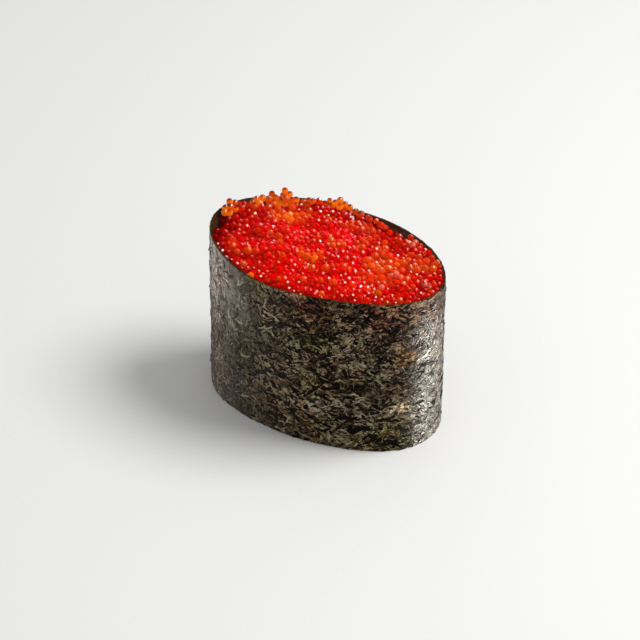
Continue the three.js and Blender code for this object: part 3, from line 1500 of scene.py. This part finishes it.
@dataclass
class RoeHeap:
    """The heap of eggs: a core with egg relief, a bed of single eggs over it, and loose eggs on top.

    Outwards, limits are shares of the way from the axis to the wall, and in height they start at the rim.
    """

    wall: OvalWall
    nori_thickness: float = 0.4
    diameter: float = 1.48
    spread: float = 0.16
    sizes: Limits = (0.75, 1.25)
    bed_depth: float = 3.6
    fill: float = 0.6
    highest: float = 37.7
    unevenness: float = 0.42
    lump: float = 1.4
    lump_wavelengths: tuple[float, ...] = (9.0, 7.0, 5.5, 4.8, 4.2, 3.8, 3.4, 3.1)
    drift_wavelengths: tuple[float, ...] = (11.0, 8.0, 6.5, 5.0, 4.0)
    crest_out: Limits = (0.6, 0.8)
    crest_turn: Limits = (-25.0, 180.0)
    crest_fade: float = 15.0
    swell_out: Limits = (0.7, 0.9)
    edge_swells: tuple[EdgeSwell, ...] = (
        EdgeSwell(12.0, 26.0, 1.2),
        EdgeSwell(36.0, 14.0, 0.7),
        EdgeSwell(58.0, 16.0, 0.7),
        EdgeSwell(102.0, 30.0, 1.0),
        EdgeSwell(150.0, 16.0, 1.5),
        EdgeSwell(168.0, 12.0, 2.0),
    )
    rounds: int = 120
    pairs_every: int = 8
    ceiling_every: int = 4
    near: float = 1.7
    give: float = 0.35
    float_up: float = 0.03
    wall_gap: float = 0.05
    wall_slack: float = 1.02
    seed: int = 5
    # The side that each egg's painted crescent of light faces.
    glow_side: Triple = (-0.62, -0.77, -0.2)
    glow_limits: Limits = (0.45, 0.9)
    # The side that the painted dark top faces.
    dark_top_side: Triple = (-0.1, 0.15, 1.0)
    dark_top_limits: Limits = (0.42, 0.75)
    warming: Warming = Warming()
    shading: Shading = Shading()
    wettest: Triple = (12.5, -6.5, 9.5)
    wet_rise: float = 0.3
    least_gap: float = 0.8
    bed_clear: float = 0.35
    loose_clear: float = 0.2
    edge_reach: float = 4.0
    edge_below: Limits = (0.2, 2.0)
    free_out: Limits = (0.8, 0.92)
    free_above: Limits = (-0.2, 0.5)
    core_inset: float = 0.9
    core_rings: int = 40
    core_sectors: int = 200
    core_depth: float = 2.7
    core_floor: float = 24.4
    finish: EggFinish = field(default_factory=EggFinish)
    core_finish: CoreFinish = field(default_factory=CoreFinish)
    patches: tuple[WarmPatch, ...] = (
        WarmPatch(-2.1, -2.5, 2.5, 0.5),
        WarmPatch(10.9, 2.0, 3.5, 0.5),
        WarmPatch(-14.0, 9.0, 4.0, 0.45),
        WarmPatch(2.0, 10.0, 6.0, 0.2),
        WarmPatch(17.0, 5.0, 4.0, 0.35),
        WarmPatch(14.0, -5.0, 3.0, 0.4),
    )
    loose: tuple[LooseEgg, ...] = (
        LooseEgg(-23.7, 2.1, 38.3, 0.7, 1.4),
        LooseEgg(-23.0, 3.1, 37.7, 0.4, 1.3),
        LooseEgg(-24.0, 1.0, 37.3),
        LooseEgg(-23.8, 0.4, 36.6),
        LooseEgg(-23.1, 1.5, 37.6, 0.6),
        LooseEgg(-22.8, 0.6, 36.8),
        LooseEgg(-22.4, 2.1, 36.9, 0.7),
        LooseEgg(-20.6, 7.5, 36.8),
        LooseEgg(-19.7, 8.3, 36.9),
        LooseEgg(-19.5, 6.8, 36.4, 0.9, 1.7),
        LooseEgg(-18.6, 8.9, 36.1, 0.7),
        LooseEgg(-17.4, 10.0, 36.5),
        LooseEgg(-16.5, 9.4, 36.1, 0.95, 1.6),
        LooseEgg(-15.3, 9.5, 36.3, 0.95),
        LooseEgg(-14.6, 10.6, 36.0),
        LooseEgg(-15.7, 10.4, 38.8),
        LooseEgg(-15.1, 11.1, 37.7, 0.9),
        LooseEgg(-16.1, 10.5, 37.5, 0.6),
        LooseEgg(-15.6, 10.9, 36.5),
        LooseEgg(-14.0, 11.9, 36.3, 1.0, 1.55),
        LooseEgg(-12.7, 12.7, 35.7, 0.4),
        LooseEgg(-11.7, 13.1, 36.2, 0.5),
        LooseEgg(-9.7, 13.7, 36.4, 1.0, 1.55),
        LooseEgg(-8.5, 14.0, 36.0, 0.5),
        LooseEgg(-7.0, 14.2, 35.9),
        LooseEgg(-6.1, 14.1, 37.0, 0.95),
        LooseEgg(-5.2, 14.5, 37.7, 0.9, 1.45),
        LooseEgg(-4.7, 13.5, 36.9, 0.9),
        LooseEgg(-4.1, 14.6, 37.0),
        LooseEgg(-3.0, 14.6, 36.7, 0.8, 1.4),
        LooseEgg(-1.6, 14.5, 36.2, 0.4),
        LooseEgg(-0.2, 14.1, 36.3, 0.2, 1.6),
        LooseEgg(1.2, 14.6, 35.7, 0.3, 1.2),
        LooseEgg(2.1, 13.6, 36.2, 0.1, 1.5),
        LooseEgg(3.3, 14.3, 35.7, 0.3, 1.3),
        LooseEgg(4.9, 13.4, 35.7, 0.1, 1.6),
        LooseEgg(12.2, 12.5, 36.0, 0.1, 1.3),
        LooseEgg(-9.0, -14.0, 35.1, 0.7),
        LooseEgg(16.5, -1.0, 36.9, 0.3, 1.3, 0.5),
        LooseEgg(17.4, -0.7, 36.2, 0.3, 1.1, 0.4),
        LooseEgg(15.7, -1.4, 36.4, 0.3, 1.1, 0.3),
        LooseEgg(22.5, -0.3, 36.1, 0.3, 1.2, 0.4),
        LooseEgg(23.3, 0.2, 35.4, 0.3, 1.0, 0.3),
        LooseEgg(14.0, 10.1, 36.3, 0.3, 1.2, 0.5),
        LooseEgg(15.6, -5.0, 35.8, 0.3, 1.1, 0.4),
        LooseEgg(6.0, 13.2, 35.7, 0.2, 1.3),
        LooseEgg(7.6, 12.2, 35.6, 0.1, 1.3),
        LooseEgg(9.8, 12.2, 35.4, 0.2, 1.5),
    )

    def bed(self, top: HeapTop) -> tuple[Array, Array]:
        """Packs the bed's eggs by pushing them apart under the heap's top, inside the wall.

        Args:
            top: the heap's top.

        Returns:
            The eggs' middles and radii, in millimetres.
        """
        random = np.random.default_rng(self.seed)
        area = math.pi * self.wall.rim.half_length * self.wall.rim.half_width
        count = int(self.fill * area * self.bed_depth / (math.pi / 6 * self.diameter**3))
        angle, out = random.uniform(0, math.tau, count), np.sqrt(random.uniform(0, 1, count))
        edge_x, edge_y = self.wall.point(angle, 1.0, self.nori_thickness + self.diameter / 2)
        middle_x, middle_y = self.wall.axis
        x = middle_x + (edge_x - middle_x) * out
        y = middle_y + (edge_y - middle_y) * out
        sink = random.uniform(0, 1, count) * (self.bed_depth - self.diameter)
        radius = self.diameter / 2 * np.clip(1 + self.spread * random.standard_normal(count), *self.sizes)
        slack = np.abs(random.standard_normal(count)) * self.unevenness
        ceiling = self.ceiling(top, x, y) - radius
        middles = np.stack([x, y, ceiling - sink], 1)
        for step in range(self.rounds):
            if step % self.pairs_every == 0:
                first, second = self._near_pairs(middles)
            self._push_apart(middles, radius, first, second)
            self._keep_inside(middles, radius)
            middles[:, 2] += self.float_up
            if step % self.ceiling_every == 0:
                ceiling = self.ceiling(top, middles[:, 0], middles[:, 1]) - radius
            ground = ceiling - self.bed_depth + self.diameter
            middles[:, 2] = np.clip(middles[:, 2], ground, ceiling - slack)
        return middles, radius

    def ceiling(self, top: HeapTop, x: Array, y: Array) -> Array:
        """The bed's uneven top, which dips below the heap's except along the crest.

        Args:
            top: the heap's top.
            x: places along the piece.
            y: places across it.

        Returns:
            The height that the bed's eggs may reach.
        """
        out, turn = self.outward(x, y)
        first, last = self.crest_turn
        crest = smoothstep(turn, first - self.crest_fade, first) * (turn < last)
        slope = 1 - smoothstep(out, *self.crest_out) * crest
        lift = smoothstep(out, *self.swell_out) * sum(swell.at(turn) for swell in self.edge_swells)
        return np.minimum(top.height(x, y), self.highest) + lift - self.lump * self.dips(x, y) * slope

    def outward(self, x: Array, y: Array) -> tuple[Array, Array]:
        """Where places lie, as seen from the axis.

        Args:
            x: places along the piece.
            y: places across it.

        Returns:
            Their shares of the way out to the nori, and their turns round the axis in degrees.
        """
        distance, angle = self.wall.polar(x, y)
        return distance / self.wall.reach(angle, self.nori_thickness), np.degrees(angle)

    def dips(self, x: Array, y: Array) -> Array:
        """How far the heap's top dips between its lumps: 0 on a lump and 1 in a hollow."""
        return np.clip(0.5 + ripples(x, y, self.lump_wavelengths, self.seed + 2), 0, 1)

    def _near_pairs(self, middles: Array) -> tuple[Array, Array]:
        """Pairs of eggs that are close enough to touch soon.

        Args:
            middles: the eggs' middles.

        Returns:
            The numbers of the first eggs of the pairs, and those of the second.
        """
        gaps = middles[:, None, :].astype(np.float32) - middles[None, :, :].astype(np.float32)
        near = np.einsum("ijk,ijk->ij", gaps, gaps) < (self.near * self.diameter) ** 2
        return np.nonzero(np.triu(near, 1))

    def _push_apart(self, middles: Array, radius: Array, first: Array, second: Array) -> None:
        """Moves overlapping eggs apart, by a part of their overlap.

        Args:
            middles: the eggs' middles, which are changed.
            radius: their radii.
            first: the first egg of each pair.
            second: the second egg of each pair.
        """
        gap = middles[first] - middles[second]
        distance = np.maximum(np.linalg.norm(gap, axis=1), TINY)
        overlap = np.maximum(radius[first] + radius[second] - distance, 0) * self.give
        push = gap / distance[:, None] * overlap[:, None]
        np.add.at(middles, first, push)
        np.subtract.at(middles, second, push)

    def _keep_inside(self, middles: Array, radius: Array) -> None:
        """Moves eggs that cut into the nori back to its inner face.

        Args:
            middles: the eggs' middles, which are changed.
            radius: their radii.
        """
        distance, angle = self.wall.polar(middles[:, 0], middles[:, 1])
        limit = self.wall.reach(angle, self.nori_thickness + self.wall_gap) - radius * self.wall_slack
        pull = np.minimum(limit / np.maximum(distance, TINY), 1)
        for axis, middle in enumerate(self.wall.axis):
            middles[:, axis] = middle + (middles[:, axis] - middle) * pull

    def loose_eggs(self) -> tuple[Array, Array]:
        """The loose eggs' middles and radii."""
        middles = np.array([(egg.x, egg.y, egg.z) for egg in self.loose])
        return middles, np.array([egg.diameter / 2 for egg in self.loose])

    def clear_of(self, middles: Array, radius: Array, others: Array, other_radius: Array) -> Array:
        """Whether each egg keeps out of some others, but for a slight overlap."""
        gaps = np.linalg.norm(middles[:, None, :] - others[None, :, :], axis=2)
        return (gaps > self.least_gap * (radius[:, None] + other_radius[None, :])).all(1)

    def warmth(self, middles: Array) -> Array:
        """How orange each egg is, from the patches, a slow drift and chance, and from painted light: more
        on the lumps and on eggs clear of the heap, less low beside the wall.

        Args:
            middles: the eggs' middles.

        Returns:
            0 for red eggs and 1 for orange ones.
        """
        x, y, _ = middles.T
        random = np.random.default_rng(self.seed + 1)
        warming = self.warming
        warm = warming.chance * random.standard_normal(len(middles))
        warm += warming.stray * (random.uniform(0, 1, len(middles)) < warming.stray_share)
        drift = ripples(x, y, self.drift_wavelengths, self.seed + 3)
        warm += warming.drift * np.clip(drift - warming.drift_from, 0, 1)
        # Painted light: eggs on the lumps are more orange, those in the hollows less so.
        warm += warming.lump * (warming.lump_level - self.dips(x, y))
        for patch in self.patches:
            away = np.hypot(x - patch.x, y - patch.y) / patch.radius
            warm += patch.strength * np.exp(-(away**2))
        # Painted shade: eggs low beside the wall lose their orange.
        warm = warming.gain * (warm - warming.loss) * (1 - self.edge(middles))
        # Painted light: eggs standing clear above the rim are orange, as if light came through them.
        return np.clip(warm + warming.free * self.free(middles), 0, 1)

    def edge(self, middles: Array) -> Array:
        """How near each egg is to the wall, below its rim.

        Args:
            middles: the eggs' middles.

        Returns:
            0 away from the wall and 1 at it.
        """
        distance, angle = self.wall.polar(middles[:, 0], middles[:, 1])
        inside = self.wall.reach(angle, self.nori_thickness) - distance
        below = self.wall.rim_height(angle) - middles[:, 2]
        return smoothstep(-inside, -self.edge_reach, 0.0) * smoothstep(below, *self.edge_below)

    def shade(self, middles: Array) -> Array:
        """How dark each egg is: those low beside the wall and in the hollows get little light.

        Args:
            middles: the eggs' middles.

        Returns:
            0 for eggs in full light and 1 for dark ones.
        """
        random = np.random.default_rng(self.seed + 4)
        deep = np.clip(self.dips(middles[:, 0], middles[:, 1]) - self.shading.hollow_from, 0, 1)
        chance = self.shading.chance * random.standard_normal(len(middles))
        return np.clip(self.edge(middles) + self.shading.hollow * deep + chance, 0, 1)

    def wetness(self, middles: Array) -> Array:
        """How much wetter than the rest each egg is, near the wettest place.

        Args:
            middles: the eggs' middles.

        Returns:
            What is added to each egg's gleam.
        """
        x, y, radius = self.wettest
        away = np.hypot(middles[:, 0] - x, middles[:, 1] - y) / radius
        return self.wet_rise * np.exp(-(away**2))

    def free(self, middles: Array) -> Array:
        """How far each egg stands clear of the heap, above the rim.

        Args:
            middles: the eggs' middles.

        Returns:
            0 within the heap and 1 on the skyline.
        """
        out, turn = self.outward(middles[:, 0], middles[:, 1])
        above = middles[:, 2] - self.wall.rim_height(np.radians(turn))
        return smoothstep(out, *self.free_out) * smoothstep(above, *self.free_above)

    def egg_graph(self, finish: bpy.types.Material) -> GeometryGraph:
        """The tree that puts an egg on each point, each a little out of round.

        Args:
            finish: the eggs' material.

        Returns:
            The tree.
        """
        graph = GeometryGraph("roe_eggs", Out_of_round=0.06, Fit=0.98, Seed=3, Finish=finish)
        uneven = graph.input("Out of round")
        stretch = [graph.chance(-1.0, 1.0, draw) * uneven + 1.0 for draw in (1, 2, 3)]
        size = graph.attribute("radius") * graph.input("Fit")
        scale = graph.vector("SCALE", graph.triple(*stretch), size)
        turn = graph.triple(*[graph.chance(0.0, math.tau, draw) for draw in (4, 5, 6)])
        rotation = graph.node("FunctionNodeEulerToRotation", None, {"Euler": turn})
        inputs = {"Points": graph.entry, "Instance": self.egg(graph), "Rotation": rotation, "Scale": scale}
        placed = graph.node("GeometryNodeInstanceOnPoints", None, inputs)
        gleam = graph.chance(0.0, 1.0, 7) + graph.attribute("wetness")
        placed = graph.store(placed, "gleam", gleam, "INSTANCE")
        real = graph.node("GeometryNodeRealizeInstances", None, {"Geometry": placed})
        # Painted light on each egg: a crescent on its glow side, and a dark top on eggs that stand clear of
        # the heap.
        glow = self.facing(graph, self.glow_side).between(*self.glow_limits)
        painted_dark_top = self.facing(graph, self.dark_top_side).between(*self.dark_top_limits) * graph.attribute("free")
        graph.close(graph.store(graph.store(real, "glow", glow), "painted_dark_top", painted_dark_top))
        return graph

    @staticmethod
    def facing(graph: GeometryGraph, side: Triple) -> Value:
        """How squarely each point faces one side, up to 1."""
        normal = graph.node("GeometryNodeInputNormal")
        return graph.vector("DOT_PRODUCT", normal, tuple(Vector(side).normalized()))

    @staticmethod
    def egg(graph: GeometryGraph) -> Value:
        """A ball of 54 even quads, with a radius of one.

        Args:
            graph: the tree that it is made in.

        Returns:
            Its mesh.
        """
        box = {"Size": (2 * MM, 2 * MM, 2 * MM), "Vertices X": 4, "Vertices Y": 4, "Vertices Z": 4}
        spread = [graph.math("TANGENT", part * (math.pi / 4)) for part in graph.parts(graph.place())]
        outwards = graph.vector("NORMALIZE", graph.triple(*spread))
        inputs = {
            "Geometry": graph.node("GeometryNodeMeshCube", None, box),
            "Position": graph.vector("SCALE", outwards, MM),
        }
        return graph.node("GeometryNodeSetPosition", None, inputs)

    def core(self, top: HeapTop) -> bpy.types.Object:
        """Makes the smooth core under the eggs.

        Args:
            top: the heap's top.

        Returns:
            The core.
        """

        def low(x: Array, y: Array) -> Array:
            """The core's flat underside."""
            return np.full(np.shape(x), self.core_floor)

        def high(x: Array, y: Array) -> Array:
            """The core's top, which follows the heap's."""
            return np.minimum(top.height(x, y), self.highest) - self.core_depth

        shape = filling(self.wall, self.core_inset, self.core_rings, self.core_sectors, low, high)
        return mesh_object("roe_core_smooth", *shape)

    def core_graph(self, finish: bpy.types.Material) -> GeometryGraph:
        """The tree that raises egg-sized domes on the core.

        Args:
            finish: the core's material.

        Returns:
            The tree.
        """
        graph = GeometryGraph("roe_core", Per_mm=0.72, Dome=0.7, Finish=finish)
        near = graph.cells(graph.place(), graph.input("Per mm"), randomness=0.7)
        dome = graph.math("SQRT", graph.math("MAXIMUM", 1 - near * near, 0.0))
        upwards = graph.vector("MULTIPLY", graph.node("GeometryNodeInputNormal"), (0.0, 0.0, 1.0))
        offset = graph.vector("SCALE", upwards, dome * graph.input("Dome"))
        graph.close(graph.moved(graph.entry, offset))
        return graph

    def places(self, name: str, middles: Array, **numbers: Array) -> bpy.types.Object:
        """Makes the points that the eggs are put on.

        Args:
            name: the object's name.
            middles: the eggs' middles.
            numbers: more of the numbers that each egg carries.

        Returns:
            The points, with their numbers.
        """
        points = mesh_object(name, middles, [])
        free = self.free(middles)
        numbers |= {
            "shade": self.shade(middles),
            "wetness": self.wetness(middles),
            "free": free,
            "clear": self.bed_clear + (self.loose_clear - self.bed_clear) * free,
        }
        for key, values in numbers.items():
            store_numbers(points, key, values)
        return points

    def build(self) -> list[bpy.types.Object]:
        """Makes the core, the bed of eggs and the loose eggs.

        Returns:
            The three pieces.
        """
        top = HeapTop()
        core_graph = self.core_graph(self.core_finish.material("roe_depth"))
        core = core_graph.grow("roe_core", self.core(top))
        middles, radius = self.bed(top)
        loose, loose_radius = self.loose_eggs()
        kept = self.clear_of(middles, radius, loose, loose_radius)
        middles, radius = middles[kept], radius[kept]
        places = {
            "roe_eggs": self.places(
                "bed_places",
                middles,
                radius=radius,
                warmth=self.warmth(middles),
                pallor=0 * radius,
            ),
            "roe_loose": self.places(
                "loose_places",
                loose,
                radius=loose_radius,
                warmth=np.array([egg.warmth for egg in self.loose]),
                pallor=np.array([egg.pallor for egg in self.loose]),
            ),
        }
        finish = self.finish.material("roe_egg")
        return [core, *(self.egg_graph(finish).grow(name, points) for name, points in places.items())]


# ---------- Rice ----------


@dataclass(frozen=True)
class RiceFinish:
    """Moist cooked rice, off-white."""

    pale: str = "#f3eee0"
    creamy: str = "#e6dfcc"
    roughness: float = 0.35
    softness: float = 0.3
    grain: float = 0.05

    def material(self, name: str) -> bpy.types.Material:
        """Makes the finish.

        Args:
            name: the material's name.

        Returns:
            The material.
        """
        graph = MaterialGraph(name)
        mottle = graph.noise(graph.place(), per_mm=0.5, detail=3.0)
        surface = graph.surface(
            Base_Color=graph.blend(mottle, display_colour(self.creamy), display_colour(self.pale)),
            Roughness=self.roughness,
            Normal=graph.bump(graph.noise(graph.place(), per_mm=2.0, detail=3.0), self.grain),
            Subsurface_Weight=self.softness,
        )
        return graph.finish(surface)


@dataclass
class RiceBlock:
    """The pressed rice: a core with grains on its underside, the only side that shows."""

    wall: OvalWall
    depth: float = 0.75
    height: float = 23.6
    core_bottom: float = 1.3
    core_rings: int = 24
    core_sectors: int = 160
    sowing_inset: float = 2.9
    sowing_height: float = 1.2
    sowing_sectors: int = 90
    finish: RiceFinish = field(default_factory=RiceFinish)

    def core(self) -> bpy.types.Object:
        """Makes the smooth core.

        Returns:
            The core.
        """

        def low(x: Array, y: Array) -> Array:
            """The underside."""
            return np.full(np.shape(x), self.core_bottom)

        def high(x: Array, y: Array) -> Array:
            """The top."""
            return np.full(np.shape(x), self.height)

        shape = filling(self.wall, self.depth, self.core_rings, self.core_sectors, low, high)
        return mesh_object("rice_core", *shape)

    def sowing_ground(self) -> bpy.types.Object:
        """Makes the flat oval that the grains' middles lie in.

        Returns:
            The oval.
        """
        angle = np.linspace(0, math.tau, self.sowing_sectors, endpoint=False)
        x, y = self.wall.point(angle, 0.0, self.sowing_inset)
        points = np.stack([x, y, np.full(len(angle), self.sowing_height)], 1)
        return mesh_object("rice_ground", points, [tuple(range(len(angle)))])

    def grain_graph(self, finish: bpy.types.Material) -> GeometryGraph:
        """The tree that presses grains into the underside.

        Args:
            finish: the grains' material.

        Returns:
            The tree.
        """
        graph = GeometryGraph(
            "rice_grains",
            Apart=1.75,
            Length=5.6,
            Thickness=2.5,
            Smallest=0.85,
            Largest=1.1,
            Lean=0.25,
            Pressed=0.06,
            Seed=4,
            Finish=finish,
        )
        inputs = {
            "Mesh": graph.entry,
            "Distance Min": graph.input("Apart") * MM,
            "Density Max": 1 / MM**2,
            "Seed": graph.input("Seed"),
        }
        points = graph.node("GeometryNodeDistributePointsOnFaces", {"distribute_method": "POISSON"}, inputs)
        lean = [graph.chance(-1.0, 1.0, draw) * graph.input("Lean") for draw in (1, 2)]
        euler = graph.triple(*lean, graph.chance(0.0, math.tau, 3))
        size = graph.chance(graph.input("Smallest"), graph.input("Largest"), 4)
        shape = graph.triple(graph.input("Length"), graph.input("Thickness"), graph.input("Thickness"))
        grain = graph.node("GeometryNodeMeshIcoSphere", None, {"Radius": 0.5 * MM, "Subdivisions": 2})
        inputs = {
            "Points": points,
            "Instance": grain,
            "Rotation": graph.node("FunctionNodeEulerToRotation", None, {"Euler": euler}),
            "Scale": graph.vector("SCALE", shape, size),
        }
        placed = graph.node("GeometryNodeInstanceOnPoints", None, inputs)
        real = graph.node("GeometryNodeRealizeInstances", None, {"Geometry": placed})
        lift = graph.math("MAXIMUM", graph.input("Pressed") - graph.parts(graph.place())[2], 0.0)
        graph.close(graph.moved(real, graph.triple(0.0, 0.0, lift)))
        return graph

    def build(self) -> list[bpy.types.Object]:
        """Makes the core and the grains.

        Returns:
            The two pieces.
        """
        material = self.finish.material("rice")
        core = self.core()
        core.data.materials.append(material)
        return [core, self.grain_graph(material).grow("rice_grains", self.sowing_ground())]


# ---------- Stage ----------


def direction(azimuth: float, elevation: float) -> Vector:
    """The way towards a viewer. Azimuth 0 looks along +Y and 90 along -X, in degrees."""
    a, e = math.radians(azimuth), math.radians(elevation)
    return Vector((math.sin(a) * math.cos(e), -math.cos(a) * math.cos(e), math.sin(e)))


@dataclass(frozen=True)
class Lamp:
    """A round soft lamp that faces the piece. Its turn is in degrees to the right of the camera.

    A lamp with glints_on makes only reflections, and only on the pieces that stand for that node.
    """

    name: str
    turn: float
    elevation: float
    size: float
    watts: float
    glints_on: Node | None = None
    tint: Triple = (1.0, 1.0, 1.0)
    reflected: bool = True
    distance: float = 0.6

    def build(self, camera_azimuth: float) -> None:
        """Hangs the lamp.

        Args:
            camera_azimuth: the camera's azimuth, in degrees.
        """
        data = bpy.data.lights.new(self.name, "AREA")
        data.shape = "DISK"
        data.size = self.size
        data.energy = self.watts
        data.color = self.tint
        lamp = add_object(self.name, data)
        lamp.location = direction(camera_azimuth + self.turn, self.elevation) * self.distance
        lamp.rotation_euler = lamp.location.to_track_quat("Z", "Y").to_euler()
        lamp.visible_glossy = self.reflected
        if self.glints_on:
            lamp.visible_diffuse = False
            lamp.visible_transmission = False
            data.use_shadow = self.elevation > 0
            lamp.light_linking.receiver_collection = PIECES[self.glints_on]


@dataclass
class Studio:
    """A pale floor, a bright surround, soft lamps and the camera.

    The aim and its distance are in millimetres, and the floor and the farthest view in metres.
    """

    azimuth: float = 30.5
    elevation: float = 36.0
    distance: float = 800.0
    lens: float = 215.2
    sensor_width: float = 36.0
    farthest: float = 20.0
    aim: Triple = (-14.29, 21.89, 0.0)
    surround: float = 0.492
    floor_size: float = 6.0
    floor_dark: Colour = (0.83, 0.83, 0.81, 1.0)
    floor_pale: Colour = (0.87, 0.87, 0.85, 1.0)
    floor_roughness: float = 0.6
    lamps: tuple[Lamp, ...] = (
        Lamp("key_lamp", 90.0, 57.0, 0.32, 2.83, reflected=False),
        Lamp("spark_lamp", 130.0, 52.0, 0.2, 9.0, Node.ROE),
        Lamp("second_spark_lamp", 75.0, 62.0, 0.13, 1.0, Node.ROE),
        Lamp("right_sheen_lamp", 80.0, -30.0, 0.22, 7.5, Node.NORI, (1.0, 0.97, 0.86)),
        Lamp("left_sheen_lamp", -110.0, -24.0, 0.3, 4.3, Node.NORI, (1.0, 0.88, 0.75)),
    )

    def build(self) -> None:
        """Sets the stage."""
        scene = bpy.context.scene
        scene.view_settings.view_transform = "Standard"
        world = bpy.data.worlds.new("surround")
        world.use_nodes = True
        background = world.node_tree.nodes["Background"]
        background.inputs["Color"].default_value = (1.0, 1.0, 1.0, 1.0)
        background.inputs["Strength"].default_value = self.surround
        world.cycles_visibility.glossy = False
        scene.world = world
        for lamp in self.lamps:
            lamp.build(self.azimuth)
        self._floor()
        camera = add_object("camera", bpy.data.cameras.new("camera"))
        camera.data.lens = self.lens
        camera.data.sensor_width = self.sensor_width
        camera.data.clip_end = self.farthest
        back = direction(self.azimuth, self.elevation)
        camera.location = (Vector(self.aim) + back * self.distance) * MM
        camera.rotation_euler = back.to_track_quat("Z", "Y").to_euler()
        scene.camera = camera

    def _floor(self) -> None:
        """Lays the floor."""
        half = self.floor_size / 2 / MM
        corners = np.array([(-half, -half, 0), (half, -half, 0), (half, half, 0), (-half, half, 0)])
        floor = mesh_object("floor", corners, [(0, 1, 2, 3)])
        graph = MaterialGraph("floor")
        speckle = graph.noise(graph.place(), per_mm=1.4, detail=3.0)
        colour = graph.blend(speckle, self.floor_dark, self.floor_pale)
        surface = graph.surface(Base_Color=colour, Roughness=self.floor_roughness)
        floor.data.materials.append(graph.finish(surface))


def main() -> None:
    """Builds the piece and its stage."""
    logging.basicConfig(level=logging.INFO, format="%(name)s: %(message)s")
    Studio().build()
    wall = OvalWall()
    band = NoriBand(wall)
    band.find_axis()
    for part, node, slot in (
        (band, Node.NORI, Slot.NORI),
        (RoeHeap(wall), Node.ROE, Slot.ROE),
        (RiceBlock(wall), Node.RICE, Slot.RICE),
    ):
        for piece in part.build():
            settle(piece, node, slot)


if __name__ == "__main__":
    main()
